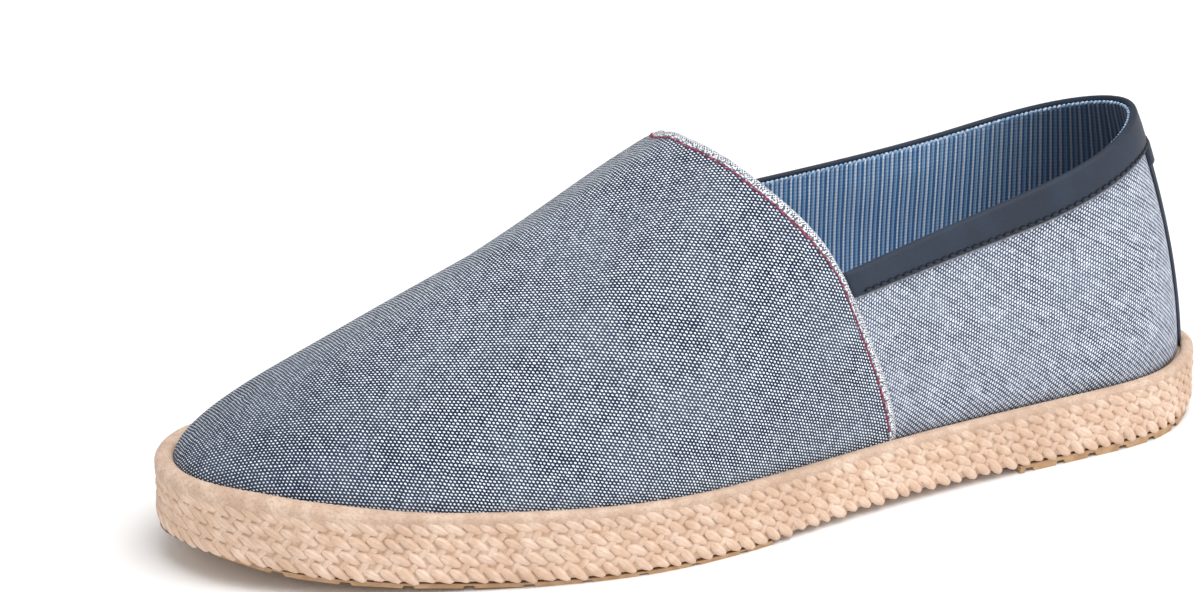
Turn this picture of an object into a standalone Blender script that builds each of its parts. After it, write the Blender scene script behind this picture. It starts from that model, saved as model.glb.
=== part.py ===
"""Espadrille, left shoe: canvas upper on a jute-wrapped sole with a rubber tread.

Metres, +Z up. The toe points to -Y and the outer side of the foot is +X. The origin is on the
floor, under the middle of the shoe. "Along" is a share of LENGTH from the heel to the toe.
"""
import math

import bmesh
import bpy
import numpy as np

# Driving sizes
LENGTH = 0.292
WIDTH = 0.107
SOLE_HEIGHT = 0.0200
COLLAR_HEIGHT = 0.0866
THROAT_HEIGHT = 0.0968
TOE_SPRING = 0.0080

# Clearance between pieces that touch on the real shoe
GAP = 0.0003
RIM_GAP = 0.0009

# Upper
CANVAS_WALL = 0.0016
VAMP_STEP = 0.0008
JUNCTION = 0.30
VAMP_FOOT = 0.363

# Jute side of the midsole
BRAID_ROWS = 5
ROW_DEPTH = 0.0005
RIM_HEIGHT = 0.0024
RIM_WIDTH = 0.0023
LEDGE_DEPTH = 0.0016
LOWER_ROUND = 0.0016
FOOTBED_DIP = 0.0010

# Rubber tread; its groove depth is a share of the thickness
TREAD = 0.0021
TREAD_INSET = 0.0012
WAIST_INSET = 0.0090
WAIST_THICKNESS = 0.0008
GROOVE_WIDTH = 0.0030
GROOVE_DEPTH = 0.55
GROOVE_SLOPE = 0.0004
PAD_SLOPE = 0.0012
TIP_FLAT = 0.0004
HEEL_GROOVE_PITCH = 0.0100
FORE_GROOVE_PITCH = 0.0145

# Insole
INSOLE_THICKNESS = 0.0030
INSOLE_ROUND = 0.0008
INSOLE_PLAY = 0.0009

# Leather trim
LEATHER = 0.0010
BAND_WIDTH = 0.0085
BAND_WIDTH_FRONT = 0.0062
LIP_REACH = 0.0012
BAND_STOP = 0.004
STRIP_WIDTH = 0.0120
TAB_LENGTH = 0.0050
TAB_STEP = 0.0008
TAB_SLOPE = 0.0006

# Mesh density
AROUND = 72
RISE = 11
QUARTER_STEPS = 14
VAMP_STEPS = 22
BAND_STEPS = 52

# Plan outline of the sole: along, across (share of WIDTH, outer side positive)
OUTLINE = (
    ("heel back", 0.000, 0.000),
    ("heel outer rear", 0.054, 0.223),
    ("heel outer", 0.162, 0.296),
    ("waist outer", 0.388, 0.383),
    ("ball outer", 0.607, 0.498),
    ("forefoot outer", 0.786, 0.406),
    ("toe outer", 0.931, 0.236),
    ("toe tip", 1.000, -0.042),
    ("toe inner", 0.958, -0.308),
    ("forefoot inner", 0.826, -0.437),
    ("ball inner", 0.697, -0.502),
    ("waist inner", 0.429, -0.359),
    ("heel inner", 0.161, -0.318),
    ("heel inner rear", 0.058, -0.204),
)

# Sole round the foot: along, lift of the rubber's underside (share of TOE_SPRING), thickness of the
# rubber (share of TREAD) and its inset (share of TREAD_INSET), top of the jute's rim (share of
# SOLE_HEIGHT), width of the rolled rim (share of RIM_WIDTH)
SOLE_SIDE = (
    ("heel back", 0.000, 0.12, 1.00, 1.00, 0.955, 1.00),
    ("heel pad", 0.070, 0.00, 1.00, 1.00, 0.937, 1.00),
    ("heel breast", 0.240, 0.00, 1.00, 1.00, 0.920, 1.00),
    ("waist", 0.380, 0.10, 0.75, 1.00, 0.920, 1.00),
    ("ball rear", 0.530, 0.00, 0.50, 1.00, 0.945, 1.00),
    ("ball", 0.680, 0.00, 0.50, 1.10, 0.995, 1.00),
    ("forefoot", 0.800, 0.14, 0.55, 1.20, 1.065, 1.05),
    ("toe rear", 0.910, 0.48, 0.60, 1.60, 1.235, 1.80),
    ("toe shoulder", 0.955, 0.73, 0.55, 2.40, 1.310, 1.80),
    ("toe tip", 1.000, 1.00, 0.50, 4.00, 1.325, 1.70),
)

# Rubber pads: along of their rear and front ends
PADS = (
    ("heel pad", 0.000, 0.235),
    ("forefoot pad", 0.500, 1.000),
)

# Collar edge: along, outer and inner half width (share of WIDTH), height (share of COLLAR_HEIGHT)
TOPLINE = (
    ("heel", 0.0624, 0.000, 0.000, 1.000),
    ("counter", 0.111, 0.168, 0.190, 0.946),
    ("quarter rear", 0.210, 0.244, 0.262, 0.868),
    ("quarter front", 0.310, 0.294, 0.300, 0.813),
    ("junction", 0.4205, 0.372, 0.348, 0.762),
)

# Throat edge of the vamp from junction to junction: along, across (share of WIDTH), height (share of
# THROAT_HEIGHT)
THROAT = (
    ("outer side", 0.4430, 0.350, 0.802),
    ("outer shoulder", 0.4780, 0.249, 0.925),
    ("outer top", 0.5010, 0.116, 0.984),
    ("top", 0.5175, -0.050, 0.9965),
    ("inner top", 0.5045, -0.192, 0.953),
    ("inner shoulder", 0.4810, -0.294, 0.896),
    ("inner side", 0.4455, -0.338, 0.797),
)

# Rise of the wall, for both sides: place around (0 heel, JUNCTION, 0.5 toe), lean of the foot (degrees
# outward), reach of the foot handle, pitch and reach of the edge handle (reach: share of the chord)
WALL = (
    ("heel back", 0.00, -3.0, 0.30, 70.0, 0.34),
    ("counter", 0.08, 1.0, 0.31, 73.0, 0.34),
    ("quarter", 0.19, 9.0, 0.32, 77.0, 0.33),
    ("junction", 0.30, 13.0, 0.22, 68.0, 0.30),
    ("ball", 0.36, 12.5, 0.25, 54.0, 0.34),
    ("forefoot", 0.42, 6.0, 0.12, 31.0, 0.38),
    ("toe side", 0.46, 0.0, 0.10, 37.5, 0.385),
    ("toe", 0.50, 0.0, 0.08, 33.0, 0.375),
)
# Below this distance the heading of a profile turns from the line to the edge to the sole's normal
HEADING_BLEND = 0.012


def columns(table, *picks):
    """Columns of a named table as arrays."""
    return [np.array([row[p] for row in table], float) for p in picks]


def ease(at, places, values):
    """Smooth curve through a table that does not overshoot its rows."""
    at = np.clip(np.asarray(at, float), places[0], places[-1])
    step = np.diff(places)
    slope = np.diff(values) / step
    rate = np.zeros(len(places))
    rate[0], rate[-1] = slope[0], slope[-1]
    for i in range(1, len(places) - 1):
        if slope[i - 1] * slope[i] > 0:
            before, after = 2 * step[i] + step[i - 1], step[i] + 2 * step[i - 1]
            rate[i] = (before + after) / (before / slope[i - 1] + after / slope[i])
    i = np.clip(np.searchsorted(places, at, side="right") - 1, 0, len(step) - 1)
    u = (at - places[i]) / step[i]
    keep, move = (1 + 2 * u) * (1 - u) ** 2, u * u * (3 - 2 * u)
    return (keep * values[i] + u * (1 - u) ** 2 * step[i] * rate[i]
            + move * values[i + 1] - u * u * (1 - u) * step[i] * rate[i + 1])


def spline(points, closed, count, power=0.5):
    """Dense smooth curve through points: closed, or open with free ends."""
    points = np.asarray(points, float)
    if closed:
        points = np.vstack([points, points[:1]])
    knots = np.concatenate([[0], np.cumsum(np.linalg.norm(np.diff(points, axis=0), axis=1) ** power)])
    step = np.diff(knots)[:, None]
    slope = np.diff(points, axis=0) / step
    n = len(points)
    system, right = np.zeros((n, n)), np.zeros_like(points)
    for i in range(1, n - 1):
        system[i, i - 1:i + 2] = step[i, 0], 2 * (step[i, 0] + step[i - 1, 0]), step[i - 1, 0]
        right[i] = 3 * (step[i] * slope[i - 1] + step[i - 1] * slope[i])
    if closed:
        system[0, 0], system[0, -1] = 1, -1
        system[-1, 0] = 2 * (step[0, 0] + step[-1, 0])
        system[-1, 1], system[-1, -2] = step[-1, 0], step[0, 0]
        right[-1] = 3 * (step[0] * slope[-1] + step[-1] * slope[0])
    else:
        system[0, :2], right[0] = (2, 1), 3 * slope[0]
        system[-1, -2:], right[-1] = (1, 2), 3 * slope[-1]
    rate = np.linalg.solve(system, right)
    at = np.linspace(0, knots[-1], count)
    i = np.clip(np.searchsorted(knots, at, side="right") - 1, 0, n - 2)
    u = ((at - knots[i]) / step[i, 0])[:, None]
    keep, move = (1 + 2 * u) * (1 - u) ** 2, u * u * (3 - 2 * u)
    return (keep * points[i] + u * (1 - u) ** 2 * step[i] * rate[i]
            + move * points[i + 1] - u * u * (1 - u) * step[i] * rate[i + 1])


def arc_length(points):
    """Length along a polyline."""
    return np.concatenate([[0], np.cumsum(np.linalg.norm(np.diff(points, axis=0), axis=1))])


def arc_shares(points):
    """Length along a polyline as a share of its whole length."""
    run = arc_length(points)
    return run / run[-1]


def pick(points, shares, at):
    """Points of a polyline at given values of its own shares."""
    return np.stack([np.interp(at, shares, points[:, k]) for k in range(points.shape[1])], -1)


def y_of(along):
    """Y of a share of the length."""
    return LENGTH / 2 - np.asarray(along) * LENGTH


def along_of(y):
    """Share of the length of a Y."""
    return (LENGTH / 2 - np.asarray(y)) / LENGTH


def dense_outline():
    """Sole outline in plan, heel, outer side, toe, inner side, with its box LENGTH by WIDTH."""
    along, across = columns(OUTLINE, 1, 2)
    loop = spline(np.stack([across * WIDTH, y_of(along)], -1), True, 1441)
    low, high = loop.min(0), loop.max(0)
    return (loop - (low + high) / 2) * (np.array([WIDTH, LENGTH]) / (high - low))


EDGE = dense_outline()
HEEL_AT = int(np.argmax(EDGE[:, 1]))
EDGE = np.vstack([EDGE[HEEL_AT:-1], EDGE[:HEEL_AT + 1]])
TOE_AT = int(np.argmin(EDGE[:, 1]))


def edge_normals():
    """Outward normals of the dense outline."""
    ahead = np.roll(EDGE[:-1], -1, 0) - np.roll(EDGE[:-1], 1, 0)
    ahead = np.vstack([ahead, ahead[:1]])
    normal = np.stack([-ahead[:, 1], ahead[:, 0]], -1)
    return normal / np.linalg.norm(normal, axis=1)[:, None]


EDGE_OUT = edge_normals()
SIDES = {"outer": slice(0, TOE_AT + 1), "inner": slice(TOE_AT, None)}


def tread_depth(along):
    """Thickness of the rubber pads."""
    places, share = columns(SOLE_SIDE, 1, 3)
    return TREAD * ease(along, places, share)


def tread_inset(along):
    """Distance of the rubber pads from the jute's outline."""
    places, share = columns(SOLE_SIDE, 1, 4)
    return TREAD_INSET * ease(along, places, share)


def bottom_z(along):
    """Underside of the jute."""
    places, lift = columns(SOLE_SIDE, 1, 2)
    return tread_depth(along) + GAP + TOE_SPRING * ease(along, places, lift)


def rim_z(along):
    """Top of the rolled rim."""
    places, top = columns(SOLE_SIDE, 1, 5)
    return SOLE_HEIGHT * ease(along, places, top)


def rim_width(along):
    """Width of the rolled rim."""
    places, wide = columns(SOLE_SIDE, 1, 6)
    return RIM_WIDTH * ease(along, places, wide)


def foot_places(count):
    """Even places around the outline: outer side from heel to toe, then the inner side back."""
    run = arc_shares(EDGE[SIDES["outer"]])
    outer = pick(np.arange(TOE_AT + 1)[:, None].astype(float), run, np.linspace(0, 1, count // 2 + 1))[:, 0]
    run = arc_shares(EDGE[SIDES["inner"]])
    rest = np.arange(TOE_AT, len(EDGE))[:, None].astype(float)
    inner = pick(rest, run, np.linspace(0, 1, count // 2 + 1))[1:-1, 0]
    return np.concatenate([outer, inner])


def at_place(values, place):
    """Rows of a dense array at fractional places."""
    return pick(values, np.arange(len(values)), place)


def ring(height, inset, of_rim=0.0, count=AROUND):
    """Loop of points inset from the outline by a length and a share of the rim's width."""
    place = foot_places(count)
    along = along_of(at_place(EDGE, place)[:, 1])
    depth = inset + of_rim * rim_width(along)
    plan = at_place(EDGE, place) - at_place(EDGE_OUT, place) * depth[:, None]
    return np.column_stack([plan, height(along)])


def footbed_z(along, spread):
    """Top of the jute inside the rim, dipping towards the middle (spread 0 middle, 1 edge)."""
    return rim_z(along) - LEDGE_DEPTH - FOOTBED_DIP * (1 - np.asarray(spread) ** 2)


def new_object(name, mesh, colour, roughness):
    """Object from a bmesh, smooth shaded, with its own plain material."""
    bmesh.ops.recalc_face_normals(mesh, faces=mesh.faces)
    data = bpy.data.meshes.new(name)
    mesh.to_mesh(data)
    mesh.free()
    data.shade_smooth()
    data.set_sharp_from_angle(angle=math.radians(40))
    item = bpy.data.objects.new(name, data)
    bpy.context.scene.collection.objects.link(item)
    material = bpy.data.materials.new(name)
    material.use_nodes = True
    shader = material.node_tree.nodes["Principled BSDF"]
    shader.inputs["Base Color"].default_value = (*colour, 1.0)
    shader.inputs["Roughness"].default_value = roughness
    shader.inputs["Metallic"].default_value = 0.0
    data.materials.append(material)
    return item


def add_rings(mesh, rings):
    """Closed rings of points joined in their order; returns the rows of vertices."""
    rows = [[mesh.verts.new(point) for point in row] for row in rings]
    for low, high in zip(rows, rows[1:]):
        for i in range(len(low)):
            j = (i + 1) % len(low)
            mesh.faces.new((low[i], low[j], high[j], high[i]))
    return rows


def close_ring(mesh, row, across, height):
    """Fill a ring with rungs from side to side; height takes the place along and the spread."""
    half = len(row) // 2
    rungs = []
    for i in range(1, half):
        left, right = row[i], row[-i]
        middle = []
        for k in range(1, across):
            share = k / across
            point = left.co.lerp(right.co, share)
            point.z = height(along_of(point.y), 2 * share - 1)
            middle.append(mesh.verts.new(point))
        rungs.append([left, *middle, right])
    for here, there in zip(rungs, rungs[1:]):
        for k in range(across):
            mesh.faces.new((here[k], here[k + 1], there[k + 1], there[k]))
    for tip, rung in ((row[0], rungs[0]), (row[half], rungs[-1])):
        for k in range(across):
            mesh.faces.new((tip, rung[k], rung[k + 1]))


def braid_side():
    """Rings of the jute's side: rounded lower edge, braid rows, rolled rim and ledge."""
    def between(share):
        return lambda along: bottom_z(along) + share * (rim_z(along) - RIM_HEIGHT - bottom_z(along))

    rings = [ring(bottom_z, LOWER_ROUND)]
    for row in range(BRAID_ROWS):
        for share in (0.10, 0.50, 0.90):
            tuck = ROW_DEPTH * (0.0 if share == 0.50 else 1.0)
            lower = LOWER_ROUND * 0.45 * (1 - share) if row == 0 else 0.0
            rings.append(ring(between((row + share) / BRAID_ROWS), max(tuck, lower)))
    for drop, inset in ((0.85, 0.10), (0.45, 0.0), (0.12, 0.22), (0.0, 0.55), (0.14, 0.88), (0.40, 1.0)):
        rings.append(ring(lambda along, d=drop: rim_z(along) - d * RIM_HEIGHT, 0.0, inset))
    rings.append(ring(lambda along: footbed_z(along, 1), 0.0, 1.0))
    return rings


def build_midsole():
    """Jute-wrapped sole: one cup with braid rows round its side and a rolled rim."""
    mesh = bmesh.new()
    rows = add_rings(mesh, braid_side())
    close_ring(mesh, rows[0], 4, lambda along, spread: float(bottom_z(along)))
    close_ring(mesh, rows[-1], 6, lambda along, spread: float(footbed_z(along, spread)))
    return new_object("midsole", mesh, (0.70, 0.48, 0.29), 0.85)


def tread_edges(inset):
    """Outer and inner edge of the tread at insets, as curves of across against along."""
    plan = EDGE - EDGE_OUT * np.reshape(inset, (-1, 1))
    outer, inner = plan[SIDES["outer"]], plan[SIDES["inner"]][::-1]
    return [(along_of(side[:, 1]), side[:, 0]) for side in (outer, inner)]


def tread_stations():
    """Places along of the tread's cross sections, each with its depth (0 waist, 1 pad)."""
    rear, front = (float(tread_inset(tip) + TIP_FLAT) / LENGTH for tip in (0, 1))
    spread = [0.5 * (1 - math.cos(math.pi * k / 24)) for k in range(25)]
    stations = {round(rear + (1 - rear - front) * share, 5): 1.0 for share in spread}
    (_, _, heel_end), (_, fore_start, _) = PADS
    slope, left = GROOVE_SLOPE / LENGTH, 1 - GROOVE_DEPTH
    for place in list(stations):
        if heel_end < place < fore_start:
            stations[place] = 0.0
    for first, last, pitch in ((0.045, heel_end - 0.018, HEEL_GROOVE_PITCH),
                               (fore_start + 0.03, 0.93, FORE_GROOVE_PITCH)):
        for k in range(int((last - first) * LENGTH / pitch) + 1):
            low = first + k * pitch / LENGTH
            high = low + GROOVE_WIDTH / LENGTH
            for place in [p for p in stations if low - slope <= p <= high + slope]:
                del stations[place]
            stations.update({low: 1.0, low + slope: left, high - slope: left, high: 1.0})
    for place, inside in ((heel_end, -1), (fore_start, 1)):
        stations[place] = 0.0
        stations[place + inside * PAD_SLOPE / LENGTH] = 1.0
    return sorted(stations.items())


def build_outsole():
    """Rubber tread: grooved heel and forefoot pads joined by a thin waist."""
    mesh = bmesh.new()
    (_, _, heel_end), (_, fore_start, _) = PADS
    pad_edges = tread_edges(tread_inset(along_of(EDGE[:, 1])))
    waist_edges = tread_edges(WAIST_INSET)
    rows = []
    for place, depth in tread_stations():
        waist = heel_end <= place <= fore_start
        edges = waist_edges if waist else pad_edges
        right, left = (float(np.interp(place, *side)) for side in edges)
        top = float(bottom_z(place)) - GAP
        thick = depth * float(tread_depth(place)) if depth > 0 else WAIST_THICKNESS
        y = float(y_of(place))
        corners = ((left, y, top), (right, y, top), (right, y, top - thick), (left, y, top - thick))
        rows.append([mesh.verts.new(corner) for corner in corners])
    for here, there in zip(rows, rows[1:]):
        for k in range(4):
            mesh.faces.new((here[k], here[(k + 1) % 4], there[(k + 1) % 4], there[k]))
    mesh.faces.new(rows[0])
    mesh.faces.new(rows[-1])
    return new_object("outsole", mesh, (0.42, 0.28, 0.16), 0.7)


def foot_edge():
    """Foot line of the upper on each side: plan and height at places around (0 heel, 0.5 toe)."""
    half = {}
    for side, order in (("outer", 1), ("inner", -1)):
        plan, out = EDGE[SIDES[side]][::order], EDGE_OUT[SIDES[side]][::order]
        along = along_of(plan[:, 1])
        run = arc_shares(plan)
        split = float(np.interp(VAMP_FOOT, along, run))
        around = np.where(run < split, run / split * JUNCTION,
                          JUNCTION + (run - split) / (1 - split) * (0.5 - JUNCTION))
        height = rim_z(along) - LEDGE_DEPTH + GAP
        inset = (rim_width(along) + RIM_GAP)[:, None]
        half[side] = (around, np.column_stack([plan - out * inset, height]), np.column_stack([out, 0 * run]))
    return half


def opening_edge():
    """Opening of the upper on each side: points at places around (0 heel, 0.5 top of the throat)."""
    along, outer, inner, height = columns(TOPLINE, 1, 2, 3, 4)
    y, z = y_of(along), height * COLLAR_HEIGHT
    loop = np.vstack([np.stack([outer, y, z], -1)[::-1], np.stack([-inner, y, z], -1)[1:]])
    loop[:, 0] *= WIDTH
    collar = spline(loop, False, 801)
    along, across, height = columns(THROAT, 1, 2, 3)
    arch = np.stack([across * WIDTH, y_of(along), height * THROAT_HEIGHT], -1)
    arch = spline(np.vstack([loop[:1], arch, loop[-1:]]), False, 801)
    heel, top = int(np.argmax(collar[:, 1])), int(np.argmin(arch[:, 1]))
    half = {}
    for side, quarter, throat in (("outer", collar[:heel + 1][::-1], arch[:top + 1]),
                                  ("inner", collar[heel:], arch[top:][::-1])):
        around = np.concatenate([arc_shares(quarter) * JUNCTION,
                                 JUNCTION + arc_shares(throat)[1:] * (0.5 - JUNCTION)])
        half[side] = (around, np.vstack([quarter, throat[1:]]))
    return half


FOOT = foot_edge()
OPENING = opening_edge()


def profile(side, around, rise):
    """Points of the vamp's outer surface on one side: places around by shares of the rise."""
    around, rise = np.atleast_1d(around), np.atleast_1d(rise)
    foot = pick(FOOT[side][1], FOOT[side][0], around)
    out = pick(FOOT[side][2], FOOT[side][0], around)
    out /= np.linalg.norm(out, axis=1)[:, None]
    edge = pick(OPENING[side][1], OPENING[side][0], around)
    place, lean, foot_reach, pitch, edge_reach = columns(WALL, 1, 2, 3, 4, 5)
    lean, pitch = (np.radians(ease(around, place, col))[:, None] for col in (lean, pitch))
    foot_reach, edge_reach = (ease(around, place, col)[:, None] for col in (foot_reach, edge_reach))
    chord = np.linalg.norm(edge - foot, axis=1)[:, None]
    up = np.array([0.0, 0.0, 1.0])
    heading = (edge - foot) * [1, 1, 0] - out * HEADING_BLEND
    heading /= np.linalg.norm(heading, axis=1)[:, None]
    first = foot + chord * foot_reach * (np.sin(lean) * out + np.cos(lean) * up)
    last = edge - chord * edge_reach * (np.cos(pitch) * heading + np.sin(pitch) * up)
    v = rise[None, :, None]
    foot, first, last, edge = (p[:, None, :] for p in (foot, first, last, edge))
    return (1 - v) ** 3 * foot + 3 * v * (1 - v) ** 2 * first + 3 * v * v * (1 - v) * last + v ** 3 * edge


def upper_places():
    """Places around the whole upper, heel to heel: (side, place, on the vamp)."""
    quarter = np.linspace(0, JUNCTION, QUARTER_STEPS + 1)
    vamp = JUNCTION + (0.5 - JUNCTION) * np.linspace(0, 1, VAMP_STEPS + 1)
    places = [("outer", a, False) for a in quarter] + [("outer", a, True) for a in vamp]
    places += [("inner", a, True) for a in vamp[::-1][1:]] + [("inner", a, False) for a in quarter[::-1][:-1]]
    return places


def grid_normals(grid, closed):
    """Outward vertex normals of a grid (places by rises)."""
    if closed:
        grid = np.concatenate([grid[-1:], grid, grid[:1]])
    face = np.cross(grid[:-1, 1:] - grid[1:, :-1], grid[1:, 1:] - grid[:-1, :-1])
    normal = np.zeros_like(grid)
    for i in (slice(None, -1), slice(1, None)):
        for j in (slice(None, -1), slice(1, None)):
            normal[i, j] += face
    normal /= np.linalg.norm(normal, axis=2)[:, :, None]
    return normal[1:-1] if closed else normal


def build_upper():
    """Canvas upper: one hollow wall, open at collar and throat and underneath, with the vamp's step."""
    rises = np.linspace(0, 1, RISE + 1) ** 0.9
    places = upper_places()
    joints = [i for i in range(len(places)) if abs(places[i][1] - JUNCTION) < 1e-9]
    plain = [p for i, p in enumerate(places) if not (i in joints and not p[2])]
    grid = np.stack([profile(side, around, rises)[0] for side, around, _ in plain])
    normal = grid_normals(grid, True)
    # the foot of the wall stands level on the footbed
    normal[:, 0, 2] = 0.0
    normal[:, 0] /= np.linalg.norm(normal[:, 0], axis=1)[:, None]
    mesh = bmesh.new()
    inner = [[mesh.verts.new(p) for p in row] for row in grid - normal * (CANVAS_WALL + VAMP_STEP)]
    outer = [[mesh.verts.new(p) for p in row] for row in
             grid - normal * np.array([0.0 if p[2] else VAMP_STEP for p in plain])[:, None, None]]
    low = {i: [mesh.verts.new(p) for p in grid[i] - normal[i] * VAMP_STEP]
           for i, p in enumerate(plain) if abs(p[1] - JUNCTION) < 1e-9}
    count = len(plain)
    for i in range(count):
        j = (i + 1) % count
        quarter = not (plain[i][2] and plain[j][2])
        here = low[i] if quarter and i in low else outer[i]
        there = low[j] if quarter and j in low else outer[j]
        for k in range(RISE):
            mesh.faces.new((here[k], there[k], there[k + 1], here[k + 1]))
            mesh.faces.new((inner[i][k], inner[i][k + 1], inner[j][k + 1], inner[j][k]))
        for k in (0, RISE):
            rim = [here[k], inner[i][k], inner[j][k], there[k]]
            if not quarter and i in low:
                rim.insert(1, low[i][k])
            if not quarter and j in low:
                rim.insert(-1, low[j][k])
            mesh.faces.new(rim)
    for i in low:
        for k in range(RISE):
            mesh.faces.new((outer[i][k], low[i][k], low[i][k + 1], outer[i][k + 1]))
    bmesh.ops.triangulate(mesh, faces=[f for f in mesh.faces if len(f.verts) > 4], ngon_method="EAR_CLIP")
    return new_object("upper", mesh, (0.22, 0.27, 0.36), 0.85)


def quarter_frames(arounds, depths):
    """Quarter surface near the collar: points, normals and rising directions at depths below the edge."""
    fine = np.linspace(0, 1, 61)
    sides = ["outer" if a >= 0 else "inner" for a in arounds]
    grid = np.stack([profile(s, abs(a), fine)[0] for s, a in zip(sides, arounds)])
    normal = grid_normals(grid, False)
    points, normals, rises = [], [], []
    for i in range(len(arounds)):
        run = arc_length(grid[i])
        at = run[-1] - np.asarray(depths[i])
        points.append(pick(grid[i], run, at))
        normals.append(pick(normal[i], run, at))
        tangent = np.gradient(grid[i], axis=0)
        tangent /= np.linalg.norm(tangent, axis=1)[:, None]
        rises.append(pick(tangent, run, at))
    return np.array(points), np.array(normals), np.array(rises)


def sweep_sections(mesh, sections):
    """Closed sections joined in their order, with both ends filled."""
    rows = add_rings(mesh, sections)
    mesh.faces.new(rows[0])
    mesh.faces.new(rows[-1])


def build_collar_binding():
    """Leather band over the quarters' top edge, with a lip across the wall."""
    end = JUNCTION - BAND_STOP
    arounds = np.linspace(-end, end, BAND_STEPS + 1)
    front = np.abs(arounds) / JUNCTION
    width = BAND_WIDTH + (BAND_WIDTH_FRONT - BAND_WIDTH) * np.clip((front - 0.45) / 0.55, 0, 1)
    depths = [[w, w / 2, 0.0] for w in width]
    points, normals, rises = quarter_frames(arounds, depths)
    under, over = GAP - VAMP_STEP, GAP - VAMP_STEP + LEATHER
    lip = -VAMP_STEP - LIP_REACH
    mesh = bmesh.new()
    sections = []
    for point, normal, rise in zip(points, normals, rises):
        front = [point[k] + normal[k] * over for k in (0, 1)]
        back = [point[k] + normal[k] * under for k in (1, 0)]
        turn = ((over, GAP + LEATHER * 0.45), (over - LEATHER * 0.45, GAP + LEATHER),
                (lip, GAP + LEATHER), (lip, GAP), (under, GAP))
        crown = [point[2] + normal[2] * out + rise[2] * up for out, up in turn]
        sections.append([*front, *crown, *back])
    sweep_sections(mesh, sections)
    return new_object("collar_binding", mesh, (0.035, 0.045, 0.07), 0.45)


def build_back_strip():
    """Leather strip over the heel seam, with a folded tab at its top."""
    heel = profile("outer", 0.0, np.linspace(0, 1, 61))[0]
    top = BAND_WIDTH + GAP
    bottom = arc_length(heel)[-1] - LEDGE_DEPTH - GAP
    turn = pick(np.array(FOOT["outer"][0])[:, None], arc_length(FOOT["outer"][1]), STRIP_WIDTH / 2)[0]
    arounds = np.array([-turn, -turn / 2, 1e-6, turn / 2, turn])
    fold = top + TAB_LENGTH
    depth = np.concatenate([np.linspace(bottom, fold + TAB_SLOPE, 8), [fold, top]])
    points, normals, rises = quarter_frames(arounds, [depth] * len(arounds))
    under, over = GAP - VAMP_STEP, GAP - VAMP_STEP + LEATHER
    mesh = bmesh.new()
    sections = []
    for k in range(len(depth)):
        lift = over + (TAB_STEP if depth[k] < fold + TAB_SLOPE / 2 else 0.0)
        front = [points[i, k] + normals[i, k] * lift for i in range(len(arounds))]
        back = [points[i, k] + normals[i, k] * under for i in range(len(arounds))][::-1]
        sections.append(front + back)
    sweep_sections(mesh, sections)
    return new_object("back_strip", mesh, (0.035, 0.045, 0.07), 0.45)


def insole_loop():
    """Plan of the insole's edge and the outward direction there, clear of the upper's inner wall."""
    even = np.linspace(0, 0.5, AROUND // 2 + 1)
    places = [("outer", a) for a in even] + [("inner", a) for a in even[-2:0:-1]]
    points, outs = [], []
    for side, around in places:
        out = pick(FOOT[side][2], FOOT[side][0], [around])[0]
        out /= np.linalg.norm(out)
        line = profile(side, around, np.linspace(0, 0.6, 61))[0]
        low = line[line[:, 2] < line[0, 2] + INSOLE_THICKNESS + GAP]
        lean_in = ((line[0] - low) * out).sum(1).max()
        points.append(line[0] - out * (lean_in + VAMP_STEP + CANVAS_WALL + INSOLE_PLAY))
        outs.append(out)
    return np.array(points), np.array(outs)


def build_insole():
    """Footbed inside the upper, following the jute's hollow."""
    mesh = bmesh.new()
    points, outs = insole_loop()
    rings = []
    for rise, inset in ((0.0, 0.0), (INSOLE_THICKNESS - INSOLE_ROUND, 0.0), (INSOLE_THICKNESS, INSOLE_ROUND)):
        loop = points - outs * inset
        loop[:, 2] = footbed_z(along_of(loop[:, 1]), 1) + GAP + rise
        rings.append(loop)
    rows = add_rings(mesh, rings)
    for row, rise in ((rows[0], GAP), (rows[-1], GAP + INSOLE_THICKNESS)):
        close_ring(mesh, row, 6, lambda along, spread, r=rise: float(footbed_z(along, spread)) + r)
    return new_object("insole", mesh, (0.12, 0.2, 0.34), 0.9)


def main():
    """Build the shoe piece by piece."""
    for item in list(bpy.data.objects):
        bpy.data.objects.remove(item)
    build_outsole()
    build_midsole()
    build_insole()
    build_upper()
    build_collar_binding()
    build_back_strip()


main()
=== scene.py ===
"""Looks of one canvas espadrille, a left shoe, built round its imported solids.

Metres, +Z up, toe towards -Y, outer side of the foot +X. "Along" is a share of the sole's length from
the heel to the toe. A "turn" runs once round the upper: 0 heel, then the outer side, 0.5 toe or top of
the throat, then the inner side back to 1. "Rise" runs from 0 at the foot to 1 at the opening.
"""
from __future__ import annotations

import logging
import math
from dataclasses import dataclass, field
from enum import Enum
from typing import Iterable, Sequence

import bmesh
import bpy
import numpy as np
from mathutils import Matrix, Vector


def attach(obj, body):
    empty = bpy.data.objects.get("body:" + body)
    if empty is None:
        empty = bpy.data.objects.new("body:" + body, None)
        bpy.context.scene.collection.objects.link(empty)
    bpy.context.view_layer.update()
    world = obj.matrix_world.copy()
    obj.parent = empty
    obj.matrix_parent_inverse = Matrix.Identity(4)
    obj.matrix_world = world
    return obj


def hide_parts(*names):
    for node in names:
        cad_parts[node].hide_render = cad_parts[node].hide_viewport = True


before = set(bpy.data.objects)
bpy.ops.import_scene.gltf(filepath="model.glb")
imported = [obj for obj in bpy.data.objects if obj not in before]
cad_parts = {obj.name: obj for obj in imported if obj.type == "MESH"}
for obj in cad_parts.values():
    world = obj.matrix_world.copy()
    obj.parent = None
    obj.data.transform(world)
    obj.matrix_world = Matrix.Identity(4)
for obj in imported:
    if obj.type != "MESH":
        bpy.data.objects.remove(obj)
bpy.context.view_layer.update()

LOG = logging.getLogger("espadrille")
MM = 0.001
Table = tuple[tuple, ...]
Array = np.ndarray
Socket = bpy.types.NodeSocket
Piece = bpy.types.Object


# Curves and surfaces


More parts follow.
